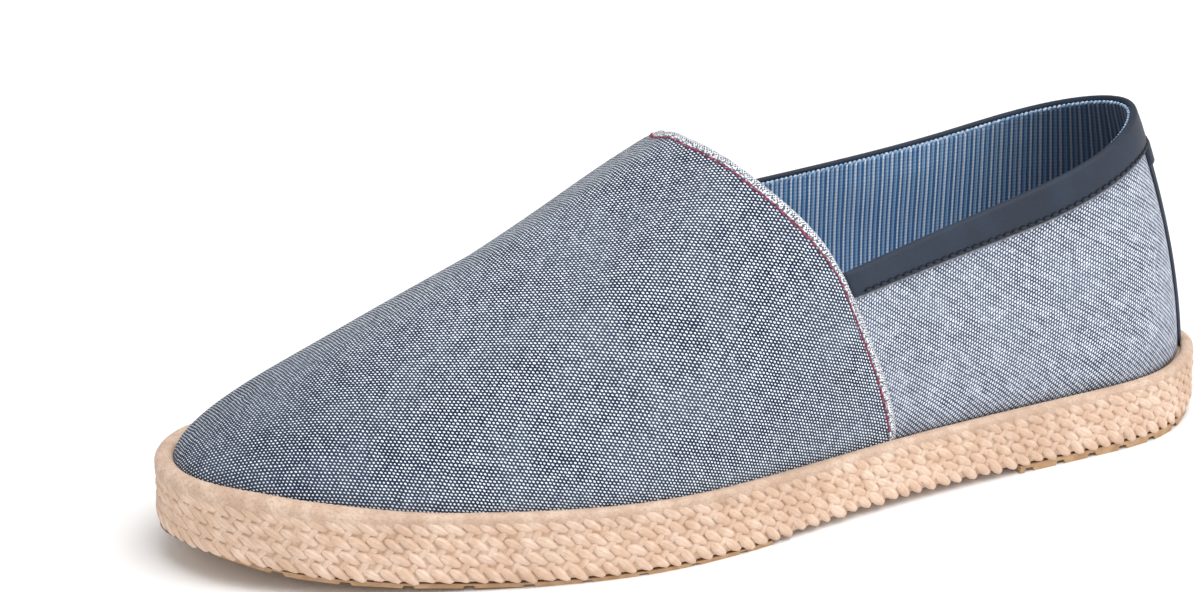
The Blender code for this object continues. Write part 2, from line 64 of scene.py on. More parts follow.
def columns(table: Table, *picks: int) -> list[Array]:
    """Columns of a named table as arrays."""
    return [np.array([row[p] for row in table], float) for p in picks]


def ease(at: Array, places: Array, values: Array) -> Array:
    """Smooth curve through a table that does not overshoot its rows.

    Args:
        at: Places to read.
        places: Places of the rows, rising.
        values: Values of the rows.

    Returns:
        The values at the places to read.
    """
    at = np.clip(np.asarray(at, float), places[0], places[-1])
    step = np.diff(places)
    slope = np.diff(values) / step
    rate = np.zeros(len(places))
    rate[0], rate[-1] = slope[0], slope[-1]
    for i in range(1, len(places) - 1):
        if slope[i - 1] * slope[i] > 0:
            before, after = 2 * step[i] + step[i - 1], step[i] + 2 * step[i - 1]
            rate[i] = (before + after) / (before / slope[i - 1] + after / slope[i])
    i = np.clip(np.searchsorted(places, at, side="right") - 1, 0, len(step) - 1)
    u = (at - places[i]) / step[i]
    keep, move = (1 + 2 * u) * (1 - u) ** 2, u * u * (3 - 2 * u)
    return (keep * values[i] + u * (1 - u) ** 2 * step[i] * rate[i]
            + move * values[i + 1] - u * u * (1 - u) * step[i] * rate[i + 1])


def spline(points: Array, closed: bool, count: int, power: float = 0.5) -> Array:
    """Dense smooth curve through points.

    Args:
        points: Points to pass through.
        closed: Whether the curve returns to its first point.
        count: Number of points of the result.
        power: Power of the distance between points that spaces the knots.

    Returns:
        Points of the curve.
    """
    points = np.asarray(points, float)
    if closed:
        points = np.vstack([points, points[:1]])
    knots = np.concatenate([[0], np.cumsum(np.linalg.norm(np.diff(points, axis=0), axis=1) ** power)])
    step = np.diff(knots)[:, None]
    slope = np.diff(points, axis=0) / step
    n = len(points)
    system, right = np.zeros((n, n)), np.zeros_like(points)
    for i in range(1, n - 1):
        system[i, i - 1:i + 2] = step[i, 0], 2 * (step[i, 0] + step[i - 1, 0]), step[i - 1, 0]
        right[i] = 3 * (step[i] * slope[i - 1] + step[i - 1] * slope[i])
    if closed:
        system[0, 0], system[0, -1] = 1, -1
        system[-1, 0] = 2 * (step[0, 0] + step[-1, 0])
        system[-1, 1], system[-1, -2] = step[-1, 0], step[0, 0]
        right[-1] = 3 * (step[0] * slope[-1] + step[-1] * slope[0])
    else:
        system[0, :2], right[0] = (2, 1), 3 * slope[0]
        system[-1, -2:], right[-1] = (1, 2), 3 * slope[-1]
    rate = np.linalg.solve(system, right)
    at = np.linspace(0, knots[-1], count)
    i = np.clip(np.searchsorted(knots, at, side="right") - 1, 0, n - 2)
    u = ((at - knots[i]) / step[i, 0])[:, None]
    keep, move = (1 + 2 * u) * (1 - u) ** 2, u * u * (3 - 2 * u)
    return (keep * points[i] + u * (1 - u) ** 2 * step[i] * rate[i]
            + move * points[i + 1] - u * u * (1 - u) * step[i] * rate[i + 1])


def arc_length(points: Array) -> Array:
    """Length along a polyline at each of its points."""
    return np.concatenate([[0], np.cumsum(np.linalg.norm(np.diff(points, axis=0), axis=1))])


def climbed(points: Array) -> Array:
    """Length from the first rise along each turn of a grid."""
    step = np.linalg.norm(np.diff(points, axis=1), axis=2)
    return np.concatenate([np.zeros((len(points), 1)), step.cumsum(1)], 1)


def pick(points: Array, shares: Array, at: Array) -> Array:
    """Rows of a polyline at given values of its own shares."""
    return np.stack([np.interp(at, shares, points[:, k]) for k in range(points.shape[1])], -1)


def unit(rows: Array) -> Array:
    """Rows scaled to length one."""
    return rows / np.maximum(np.linalg.norm(rows, axis=-1, keepdims=True), 1e-12)


def step_along(line: Array, outs: Array, run: Array, start: float,
               reach: float = 0.0005) -> tuple[Array, Array, Array]:
    """One place on a sewn line.

    Args:
        line: Points of the line.
        outs: Outward directions at those points.
        run: Lengths along the line at those points.
        start: Length along the line of the place.
        reach: Length ahead over which the heading is taken.

    Returns:
        The place, its heading and its outward direction.
    """
    spot, ahead = pick(line, run, np.array([start, start + reach]))
    return spot, unit(ahead - spot), unit(pick(outs, run, np.array([start]))[0])


def grid_normals(grid: Array, closed: bool) -> Array:
    """Outward normals of a grid of turns by rises.

    Args:
        grid: Points by turn and rise.
        closed: Whether the last turn repeats the first.

    Returns:
        Normals by turn and rise.
    """
    if closed:
        grid = np.concatenate([grid[-2:-1], grid, grid[1:2]])
    normal = unit(np.cross(np.gradient(grid, axis=1), np.gradient(grid, axis=0)))
    return normal[1:-1] if closed else normal


@dataclass(frozen=True)
class SoleForm:
    """Plan outline and heights of the jute sole, from the same sizes as its solids."""

    length: float = 0.292
    width: float = 0.107
    height: float = 0.0200
    toe_spring: float = 0.0080
    gap: float = 0.0003
    tread: float = 0.0021
    rim_width: float = 0.0023
    rim_height: float = 0.0024
    ledge: float = 0.0016
    plan: Table = (
        ("heel back", 0.000, 0.000),
        ("heel outer rear", 0.054, 0.223),
        ("heel outer", 0.162, 0.296),
        ("waist outer", 0.388, 0.383),
        ("ball outer", 0.607, 0.498),
        ("forefoot outer", 0.786, 0.406),
        ("toe outer", 0.931, 0.236),
        ("toe tip", 1.000, -0.042),
        ("toe inner", 0.958, -0.308),
        ("forefoot inner", 0.826, -0.437),
        ("ball inner", 0.697, -0.502),
        ("waist inner", 0.429, -0.359),
        ("heel inner", 0.161, -0.318),
        ("heel inner rear", 0.058, -0.204),
    )
    side: Table = (
        ("heel back", 0.000, 0.12, 1.00, 0.955, 1.00),
        ("heel pad", 0.070, 0.00, 1.00, 0.937, 1.00),
        ("heel breast", 0.240, 0.00, 1.00, 0.920, 1.00),
        ("waist", 0.380, 0.10, 0.75, 0.920, 1.00),
        ("ball rear", 0.530, 0.00, 0.50, 0.945, 1.00),
        ("ball", 0.680, 0.00, 0.50, 0.995, 1.00),
        ("forefoot", 0.800, 0.14, 0.55, 1.065, 1.05),
        ("toe rear", 0.910, 0.48, 0.60, 1.235, 1.80),
        ("toe shoulder", 0.955, 0.73, 0.55, 1.310, 1.80),
        ("toe tip", 1.000, 1.00, 0.50, 1.325, 1.70),
    )

    def outline(self) -> Array:
        """Dense outline from the heel by the outer side, with its box length by width.

        Returns:
            Closed plan points.
        """
        along, across = columns(self.plan, 1, 2)
        loop = spline(np.stack([across * self.width, self.y_of(along)], -1), True, 1441)
        low, high = loop.min(0), loop.max(0)
        loop = (loop - (low + high) / 2) * (np.array([self.width, self.length]) / (high - low))
        heel = int(np.argmax(loop[:, 1]))
        return np.vstack([loop[heel:-1], loop[:heel + 1]])

    def outward(self, loop: Array) -> Array:
        """Outward directions of the dense outline.

        Args:
            loop: Closed plan points.

        Returns:
            Directions of length one.
        """
        ahead = np.roll(loop[:-1], -1, 0) - np.roll(loop[:-1], 1, 0)
        ahead = np.vstack([ahead, ahead[:1]])
        return unit(np.stack([-ahead[:, 1], ahead[:, 0]], -1))

    def y_of(self, along: Array) -> Array:
        """Y of a share of the length."""
        return self.length / 2 - np.asarray(along) * self.length

    def along_of(self, y: Array) -> Array:
        """Share of the length of a Y."""
        return (self.length / 2 - np.asarray(y)) / self.length

    def bottom(self, along: Array) -> Array:
        """Underside of the jute.

        Args:
            along: Shares along.

        Returns:
            Heights of the underside.
        """
        places, lift, tread = columns(self.side, 1, 2, 3)
        rubber = self.tread * ease(along, places, tread) + self.gap
        return rubber + self.toe_spring * ease(along, places, lift)

    def rim(self, along: Array) -> Array:
        """Top of the rolled rim."""
        places, top = columns(self.side, 1, 4)
        return self.height * ease(along, places, top)

    def rim_across(self, along: Array) -> Array:
        """Width of the rolled rim."""
        places, wide = columns(self.side, 1, 5)
        return self.rim_width * ease(along, places, wide)

    def rim_tall(self, along: Array) -> Array:
        """Height of the rolled rim, which grows with its width."""
        return self.rim_height * self.rim_across(along) / self.rim_width


class SolePath:
    """Outline of the sole by length along it, with its outward directions."""

    def __init__(self, form: SoleForm) -> None:
        """Measure the outline once.

        Args:
            form: Sizes of the sole.
        """
        self.form = form
        self.loop = form.outline()
        self.out = form.outward(self.loop)
        self.run = arc_length(self.loop)
        self.total = float(self.run[-1])

    def at(self, run: Array) -> tuple[Array, Array, Array]:
        """Plan points, outward directions and shares along at lengths round the outline.

        Args:
            run: Lengths round the outline.

        Returns:
            Plan points, outward directions and shares along.
        """
        run = np.mod(run, self.total)
        plan, out = pick(self.loop, self.run, run), unit(pick(self.out, self.run, run))
        return plan, out, self.form.along_of(plan[..., 1])

    def level_pairs(self, count: int) -> tuple[Array, Array]:
        """Lengths round the outline whose outer and inner points lie at the same Y.

        Args:
            count: Number of steps from heel to toe.

        Returns:
            Lengths on the outer side from heel to toe, and those on the inner side from toe to heel.
        """
        toe = int(np.argmin(self.loop[:, 1]))
        spread = 0.5 * (1 + np.cos(np.linspace(0, math.pi, count + 1)))
        y = self.loop[toe, 1] + (self.loop[0, 1] - self.loop[toe, 1]) * spread
        outer = np.interp(-y, -self.loop[:toe + 1, 1], self.run[:toe + 1])
        inner = np.interp(y[::-1], self.loop[toe:, 1], self.run[toe:])
        return outer, inner


@dataclass(frozen=True)
class UpperForm:
    """Surface of the canvas upper, from the same sizes as its solid."""

    sole: SoleForm = SoleForm()
    collar_height: float = 0.0866
    throat_height: float = 0.0968
    gap: float = 0.0003
    rim_gap: float = 0.0009
    step: float = 0.0008
    junction: float = 0.30
    vamp_foot: float = 0.363
    heading_blend: float = 0.012
    topline: Table = (
        ("heel", 0.0624, 0.000, 0.000, 1.000),
        ("counter", 0.111, 0.168, 0.190, 0.946),
        ("quarter rear", 0.210, 0.244, 0.262, 0.868),
        ("quarter front", 0.310, 0.294, 0.300, 0.813),
        ("junction", 0.4205, 0.372, 0.348, 0.762),
    )
    throat: Table = (
        ("outer side", 0.4430, 0.350, 0.802),
        ("outer shoulder", 0.4780, 0.249, 0.925),
        ("outer top", 0.5010, 0.116, 0.984),
        ("top", 0.5175, -0.050, 0.9965),
        ("inner top", 0.5045, -0.192, 0.953),
        ("inner shoulder", 0.4810, -0.294, 0.896),
        ("inner side", 0.4455, -0.338, 0.797),
    )
    profile_rows: Table = (
        ("heel back", 0.00, -3.0, 0.30, 70.0, 0.34),
        ("counter", 0.08, 1.0, 0.31, 73.0, 0.34),
        ("quarter", 0.19, 9.0, 0.32, 77.0, 0.33),
        ("junction", 0.30, 13.0, 0.22, 68.0, 0.30),
        ("ball", 0.36, 12.5, 0.25, 54.0, 0.34),
        ("forefoot", 0.42, 6.0, 0.12, 31.0, 0.38),
        ("toe side", 0.46, 0.0, 0.10, 37.5, 0.385),
        ("toe", 0.50, 0.0, 0.08, 33.0, 0.375),
    )


class UpperSurface:
    """Points and normals of the upper by turn and rise."""

    def __init__(self, form: UpperForm) -> None:
        """Prepare the foot line and the opening once.

        Args:
            form: Sizes of the upper.
        """
        self.form = form
        self.foot = self._foot_edge()
        self.opening = self._opening_edge()

    def _foot_edge(self) -> dict[str, tuple[Array, Array, Array]]:
        """Foot line on each side: places round, points and outward directions.

        Returns:
            The three arrays by the name of the side.
        """
        form, sole = self.form, self.form.sole
        loop = sole.outline()
        out = sole.outward(loop)
        toe = int(np.argmin(loop[:, 1]))
        half = {}
        for side, span, order in (("outer", slice(0, toe + 1), 1), ("inner", slice(toe, None), -1)):
            plan, away = loop[span][::order], out[span][::order]
            along = sole.along_of(plan[:, 1])
            run = arc_length(plan)
            run = run / run[-1]
            split = float(np.interp(form.vamp_foot, along, run))
            around = np.where(run < split, run / split * form.junction,
                              form.junction + (run - split) / (1 - split) * (0.5 - form.junction))
            height = sole.rim(along) - sole.ledge + form.gap
            inset = (sole.rim_across(along) + form.rim_gap)[:, None]
            points = np.column_stack([plan - away * inset, height])
            half[side] = (around, points, np.column_stack([away, 0 * run]))
        return half

    def _opening_edge(self) -> dict[str, tuple[Array, Array]]:
        """Opening on each side: places round and points.

        Returns:
            The two arrays by the name of the side.
        """
        form, sole = self.form, self.form.sole
        along, outer, inner, height = columns(form.topline, 1, 2, 3, 4)
        y, z = sole.y_of(along), height * form.collar_height
        loop = np.vstack([np.stack([outer, y, z], -1)[::-1], np.stack([-inner, y, z], -1)[1:]])
        loop[:, 0] *= sole.width
        collar = spline(loop, False, 801)
        along, across, height = columns(form.throat, 1, 2, 3)
        arch = np.stack([across * sole.width, sole.y_of(along), height * form.throat_height], -1)
        arch = spline(np.vstack([loop[:1], arch, loop[-1:]]), False, 801)
        heel, top = int(np.argmax(collar[:, 1])), int(np.argmin(arch[:, 1]))
        half = {}
        for side, quarter, throat in (("outer", collar[:heel + 1][::-1], arch[:top + 1]),
                                      ("inner", collar[heel:], arch[top:][::-1])):
            first, second = arc_length(quarter), arc_length(throat)
            around = np.concatenate([first / first[-1] * form.junction,
                                     form.junction + second[1:] / second[-1] * (0.5 - form.junction)])
            half[side] = (around, np.vstack([quarter, throat[1:]]))
        return half

    def profile(self, side: str, around: Array, rise: Array) -> Array:
        """Points of the vamp's outer surface on one side.

        Args:
            side: "outer" or "inner".
            around: Places from 0 at the heel to 0.5 at the toe.
            rise: Shares from the foot to the opening.

        Returns:
            Points by place and rise.
        """
        form = self.form
        around, rise = np.atleast_1d(around), np.atleast_1d(rise)
        foot = pick(self.foot[side][1], self.foot[side][0], around)
        out = unit(pick(self.foot[side][2], self.foot[side][0], around))
        edge = pick(self.opening[side][1], self.opening[side][0], around)
        place, lean, foot_reach, pitch, edge_reach = columns(form.profile_rows, 1, 2, 3, 4, 5)
        lean, pitch = (np.radians(ease(around, place, col))[:, None] for col in (lean, pitch))
        foot_reach, edge_reach = (ease(around, place, col)[:, None] for col in (foot_reach, edge_reach))
        chord = np.linalg.norm(edge - foot, axis=1)[:, None]
        up = np.array([0.0, 0.0, 1.0])
        heading = unit((edge - foot) * [1, 1, 0] - out * form.heading_blend)
        first = foot + chord * foot_reach * (np.sin(lean) * out + np.cos(lean) * up)
        last = edge - chord * edge_reach * (np.cos(pitch) * heading + np.sin(pitch) * up)
        v = rise[None, :, None]
        foot, first, last, edge = (p[:, None, :] for p in (foot, first, last, edge))
        return ((1 - v) ** 3 * foot + 3 * v * (1 - v) ** 2 * first
                + 3 * v * v * (1 - v) * last + v ** 3 * edge)

    def grid(self, turns: Array, rises: Array) -> Array:
        """Surface points by turn and rise.

        Args:
            turns: Turns of the rows.
            rises: Rises of the columns.

        Returns:
            Points by turn and rise.
        """
        points = np.zeros((len(turns), len(rises), 3))
        wrapped = np.mod(turns, 1.0)
        outer = wrapped <= 0.5
        points[outer] = self.profile("outer", wrapped[outer], rises)
        if (~outer).any():
            points[~outer] = self.profile("inner", 1 - wrapped[~outer], rises)
        return points

    def walled(self, turns: Array, rises: Array, depth: float) -> tuple[Array, Array]:
        """Points at a depth under the vamp's surface, with the outward normals.

        Args:
            turns: Turns of the rows.
            rises: Rises of the columns.
            depth: Distance under the vamp's outer surface.

        Returns:
            Points and normals by turn and rise.
        """
        step = 0.002
        wide = self.grid(np.concatenate([[turns[0] - step], turns, [turns[-1] + step]]), rises)
        normal = grid_normals(wide, False)[1:-1]
        return wide[1:-1] - normal * depth, normal


def beside(points: Array, line: Array) -> Array:
    """Distance from a line, and place along the line, for each point of a grid.

    Args:
        points: Points by column and row.
        line: Points of the line.

    Returns:
        Distance and place by column and row.
    """
    run, ahead = arc_length(line), unit(np.gradient(line, axis=0))
    flat = points.reshape(-1, points.shape[-1])
    near = np.array([int(np.argmin(((line - spot) ** 2).sum(1))) for spot in flat])
    gap = flat - line[near]
    past = (gap * ahead[near]).sum(1)
    away = np.linalg.norm(gap - ahead[near] * past[:, None], axis=1)
    return np.stack([away, run[near] + past], -1).reshape(*points.shape[:-1], 2)


def flatten(grid: Array, away: Array, rounds: int = 60) -> Array:
    """Lay a curved grid out flat, each face turned but as little stretched as can be.

    Args:
        grid: Points by turn and rise, whose last rise is the inner edge of the cloth.
        away: Plan direction for each turn in which the cloth is first laid out.
        rounds: Number of passes.

    Returns:
        Flat points in metres by turn and rise.
    """
    drop = np.linalg.norm(np.diff(grid, axis=1), axis=2)[:, ::-1].cumsum(1)[:, ::-1]
    drop = np.concatenate([drop, np.zeros((len(grid), 1))], 1)
    flat = (grid[:, -1:, :2] + away[:, None] * drop[:, :, None]).reshape(-1, 2)
    index = np.arange(len(flat)).reshape(grid.shape[:2])
    a, b, c, d = index[:-1, :-1], index[1:, :-1], index[1:, 1:], index[:-1, 1:]
    faces = np.concatenate([np.stack(three, -1).reshape(-1, 3) for three in ((a, b, c), (a, c, d))])
    corner = grid.reshape(-1, 3)[faces]
    first = unit(corner[:, 1] - corner[:, 0])
    second = np.cross(unit(np.cross(first, corner[:, 2] - corner[:, 0])), first)
    span = corner - corner[:, :1]
    rest = np.stack([(span * first[:, None]).sum(2), (span * second[:, None]).sum(2)], -1)
    start = flat[faces] - flat[faces[:, :1]]
    if (start[:, 1, 0] * start[:, 2, 1] - start[:, 1, 1] * start[:, 2, 0]).sum() < 0:
        rest[:, :, 1] *= -1
    system = np.zeros((len(flat), len(flat)))
    edges = []
    for i, j, k in ((0, 1, 2), (1, 2, 0), (2, 0, 1)):
        p, q = rest[:, i] - rest[:, k], rest[:, j] - rest[:, k]
        size = np.maximum(np.abs(p[:, 0] * q[:, 1] - p[:, 1] * q[:, 0]), 1e-12)
        weight = np.clip((p * q).sum(1) / size, 0.05, 20)
        for at, to, sign in ((i, i, 1), (j, j, 1), (i, j, -1), (j, i, -1)):
            np.add.at(system, (faces[:, at], faces[:, to]), sign * weight)
        edges.append((i, j, weight, rest[:, j] - rest[:, i]))
    system[0, 0] += 1.0
    inverse = np.linalg.inv(system)
    for _ in range(rounds):
        cos, sin = np.zeros(len(faces)), np.zeros(len(faces))
        for i, j, weight, side in edges:
            now = flat[faces[:, j]] - flat[faces[:, i]]
            cos += weight * (now * side).sum(1)
            sin += weight * (now[:, 1] * side[:, 0] - now[:, 0] * side[:, 1])
        size = np.maximum(np.hypot(cos, sin), 1e-18)
        cos, sin = cos / size, sin / size
        right = np.zeros_like(flat)
        for i, j, weight, side in edges:
            x, y = side.T
            turned = np.stack([cos * x - sin * y, sin * x + cos * y], -1)
            np.add.at(right, faces[:, j], weight[:, None] * turned)
            np.add.at(right, faces[:, i], -weight[:, None] * turned)
        right[0] += flat[0]
        flat = inverse @ right
    return flat.reshape(*grid.shape[:2], 2)


# Meshes


def grid_object(name: str, points: Array, maps: dict[str, Array] | None = None,
                closed: tuple[bool, bool] = (False, False)) -> Piece:
    """Object from a grid whose vertices are moved to given points.

    Args:
        name: Name of the object.
        points: Points by column and row.
        maps: UV maps by column and row.
        closed: Whether the last column repeats the first, and the last row the first row.

    Returns:
        The object, smooth shaded.
    """
    count, rows = points.shape[0] - 1, points.shape[1] - 1
    mesh = bmesh.new()
    bmesh.ops.create_grid(mesh, x_segments=count, y_segments=rows, size=0.5)
    layers = {key: mesh.loops.layers.uv.new(key) for key in (maps or {})}
    mesh.verts.ensure_lookup_table()
    place = {}
    for vert in mesh.verts:
        i, j = round((vert.co.x + 0.5) * count), round((vert.co.y + 0.5) * rows)
        place[vert.index] = (i, j)
        vert.co = points[i, j]
    for face in mesh.faces:
        for loop in face.loops:
            for key, layer in layers.items():
                loop[layer].uv = maps[key][place[loop.vert.index]]
    if closed[0] or closed[1]:
        bmesh.ops.remove_doubles(mesh, verts=mesh.verts, dist=1e-6)
    return finished(name, mesh)


def finished(name: str, mesh: bmesh.types.BMesh, outward: bool = True) -> Piece:
    """Object of a bmesh, linked and smooth shaded.

    Args:
        name: Name of the object.
        mesh: The bmesh, freed here.
        outward: Whether its faces are turned outward.

    Returns:
        The object.
    """
    if outward:
        bmesh.ops.recalc_face_normals(mesh, faces=mesh.faces)
    data = bpy.data.meshes.new(name)
    mesh.to_mesh(data)
    mesh.free()
    data.shade_smooth()
    item = bpy.data.objects.new(name, data)
    bpy.context.scene.collection.objects.link(item)
    return item


def facing(item: Piece, toward: Array) -> Piece:
    """Turn an open sheet's faces to the side that a sample direction names.

    Args:
        item: Sheet whose faces all agree.
        toward: Direction that the first face should look along.

    Returns:
        The same object.
    """
    data = item.data
    if len(data.polygons) and np.dot(np.array(data.polygons[0].normal), toward) < 0:
        data.flip_normals()
    return item


def thicken(item: Piece, depth: float) -> None:
    """Give a sheet its thickness under its faces.

    Args:
        item: The sheet.
        depth: Thickness.
    """
    wall = item.modifiers.new("wall", "SOLIDIFY")
    wall.thickness = depth
    wall.offset = -1.0
    wall.use_even_offset = False


def refine(item: Piece, levels: int) -> None:
    """Smooth a piece by subdivision, the same on screen and in the render.

    Args:
        item: The piece.
        levels: Levels of subdivision.
    """
    smooth = item.modifiers.new("smooth", "SUBSURF")
    smooth.levels = levels
    smooth.render_levels = levels


def sweep_object(name: str, frames: Sequence[tuple[Array, Array, Array]], section: Array) -> Piece:
    """Closed section swept through frames.

    Args:
        name: Name of the object.
        frames: Origin, first axis and second axis of the section at each place.
        section: Closed section, shares of the two axes by point.

    Returns:
        The object; its "run" map holds metres along and the share round the section.
    """
    points = np.array([[o + a * s[0] + b * s[1] for s in section] for o, a, b in frames])
    points = np.concatenate([points, points[:, :1]], 1)
    run = arc_length(np.array([f[0] for f in frames]))
    uv = np.stack(np.meshgrid(run, np.linspace(0, 1, points.shape[1]), indexing="ij"), -1)
    item = grid_object(name, points, {"run": uv}, closed=(False, True))
    close_ends(item)
    return item


def close_ends(item: Piece) -> None:
    """Fill the open ends of a swept piece.

    Args:
        item: The swept piece.
    """
    mesh = bmesh.new()
    mesh.from_mesh(item.data)
    border = [edge for edge in mesh.edges if edge.is_boundary]
    if border:
        bmesh.ops.holes_fill(mesh, edges=border, sides=0)
    bmesh.ops.recalc_face_normals(mesh, faces=mesh.faces)
    mesh.to_mesh(item.data)
    mesh.free()
    item.data.shade_smooth()


def scatter(name: str, places: Iterable[Matrix], around: int = 8, rings: int = 5) -> Piece:
    """One mesh of many small rounded grains.

    Args:
        name: Name of the object.
        places: Place, turn and half sizes of each grain.
        around: Faces round a grain.
        rings: Faces from tip to tip.

    Returns:
        The object; its "grain" map runs round and along each grain.
    """
    seed = bmesh.new()
    seed.loops.layers.uv.new("grain")
    bmesh.ops.create_uvsphere(seed, u_segments=around, v_segments=rings, radius=1.0, calc_uvs=True)
    template = bpy.data.meshes.new("grain")
    seed.to_mesh(template)
    seed.free()
    mesh = bmesh.new()
    for place in places:
        template.transform(place)
        mesh.from_mesh(template)
        template.transform(place.inverted())
    bpy.data.meshes.remove(template)
    return finished(name, mesh)


def place_matrix(origin: Array, along: Array, out: Array,
                 half: tuple[float, float, float]) -> Matrix:
    """Matrix of a grain: half width, half thickness and half length, its length on a direction.

    Args:
        origin: Middle of the grain.
        along: Direction of its length.
        out: Direction of its thickness.
        half: Half width, half thickness and half length.

    Returns:
        The matrix.
    """
    z = unit(np.asarray(along, float))
    y = unit(out - z * float(np.dot(out, z)))
    x = np.cross(y, z)
    turn = np.eye(4)
    turn[:3, 0], turn[:3, 1], turn[:3, 2], turn[:3, 3] = x * half[0], y * half[1], z * half[2], origin
    return Matrix(turn.tolist())


# Finishes


def linear(code: str) -> tuple[float, float, float, float]:
    """Linear colour of a hex code."""
    part = [int(code[i:i + 2], 16) / 255 for i in (1, 3, 5)]
    return (*[c / 12.92 if c <= 0.04045 else ((c + 0.055) / 1.055) ** 2.4 for c in part], 1.0)


class Graph:
    """Node tree of one finish, with short calls for the nodes that the finishes share."""

    def __init__(self, name: str) -> None:
        """Start a material with its plain shader.

        Args:
            name: Name of the material.
        """
        self.material = bpy.data.materials.new(name)
        self.material.use_nodes = True
        self.tree = self.material.node_tree
        self.shader = self.tree.nodes["Principled BSDF"]

    def join(self, socket: Socket, value: object) -> None:
        """Link a socket or set its value.

        Args:
            socket: Socket of a node.
            value: Another node's socket, or a plain value.
        """
        if isinstance(value, Socket):
            self.tree.links.new(value, socket)
        else:
            socket.default_value = value

    def add(self, kind: str, inputs: dict[int | str, object], **settings: object) -> bpy.types.Node:
        """Node of a kind with its settings and inputs.

        Args:
            kind: Kind of the node.
            inputs: Values or sockets by input.
            settings: Settings of the node.

        Returns:
            The node.
        """
        node = self.tree.nodes.new(kind)
        for key, value in settings.items():
            setattr(node, key, value)
        for key, value in inputs.items():
            self.join(node.inputs[key], value)
        return node

    def uv(self, name: str) -> Socket:
        """A piece's own map."""
        return self.add("ShaderNodeUVMap", {}, uv_map=name).outputs[0]

    def place(self) -> Socket:
        """Place on the object."""
        return self.add("ShaderNodeTexCoord", {}).outputs["Object"]

    def mapped(self, vector: Socket, scale: tuple[float, float, float],
               turn: float = 0.0) -> Socket:
        """Vector turned about its third axis and then scaled."""
        turned = self.add("ShaderNodeMapping", {"Vector": vector, "Rotation": (0, 0, turn)}).outputs[0]
        return self.add("ShaderNodeMapping", {"Vector": turned, "Scale": scale}).outputs[0]

    def parts(self, vector: Socket) -> tuple[Socket, ...]:
        """X, Y and Z of a vector."""
        return tuple(self.add("ShaderNodeSeparateXYZ", {0: vector}).outputs)

    def vector(self, x: object, y: object, z: object = 0.0) -> Socket:
        """Vector of three values."""
        return self.add("ShaderNodeCombineXYZ", {0: x, 1: y, 2: z}).outputs[0]

    def math(self, operation: str, a: object, b: object = 0.0, c: object = 0.0) -> Socket:
        """One sum."""
        return self.add("ShaderNodeMath", {0: a, 1: b, 2: c}, operation=operation).outputs[0]

    def plus(self, first: object, *others: object) -> Socket:
        """Sum of its parts, from the first on.

        Args:
            first: First part.
            others: Parts added to it in turn.

        Returns:
            The sum.
        """
        for other in others:
            first = self.math("ADD", first, other)
        return first

    def times(self, a: object, b: object) -> Socket:
        """Product of two values."""
        return self.math("MULTIPLY", a, b)

    def about(self, value: object, middle: float, depth: float) -> Socket:
        """How far a value lies from a middle, scaled by a depth."""
        return self.times(self.math("SUBTRACT", value, middle), depth)

    def smooth(self, value: object, low: float, high: float, start: float = 0.0,
               end: float = 1.0) -> Socket:
        """Smooth step from start to end between two values."""
        inputs = {"Value": value, "From Min": low, "From Max": high, "To Min": start, "To Max": end}
        return self.add("ShaderNodeMapRange", inputs, interpolation_type="SMOOTHSTEP").outputs[0]

    def noise(self, vector: object, scale: float, detail: float = 2.0,
              roughness: float = 0.5) -> Socket:
        """Soft noise from 0 to 1."""
        inputs = {"Vector": vector, "Scale": scale, "Detail": detail, "Roughness": roughness}
        return self.add("ShaderNodeTexNoise", inputs).outputs[0]

    def mix(self, share: object, a: object, b: object, blend: str = "MIX") -> Socket:
        """Blend of two colours.

        Args:
            share: Share of the second colour.
            a: First colour.
            b: Second colour.
            blend: Way of blending.

        Returns:
            The colour.
        """
        node = self.add("ShaderNodeMix", {}, data_type="RGBA", blend_type=blend)
        for index, value in ((0, share), (6, a), (7, b)):
            self.join(node.inputs[index], value)
        return node.outputs[2]

    def bump(self, height: object, depth: float, strength: float = 1.0,
             normal: object = None) -> Socket:
        """Relief of a height.

        Args:
            height: Height of the relief, 0 to 1.
            depth: Its depth in metres.
            strength: Share that is kept.
            normal: Relief under it.

        Returns:
            The normal.
        """
        inputs = {"Height": height, "Distance": depth, "Strength": strength}
        if normal is not None:
            inputs["Normal"] = normal
        return self.add("ShaderNodeBump", inputs).outputs[0]

    def done(self, **sockets: object) -> bpy.types.Material:
        """Set the shader's sockets, with underscores for spaces, and return the material.

        Args:
            sockets: Values or sockets by name.

        Returns:
            The material.
        """
        for key, value in sockets.items():
            self.join(self.shader.inputs[key.replace("_", " ")], value)
        return self.material


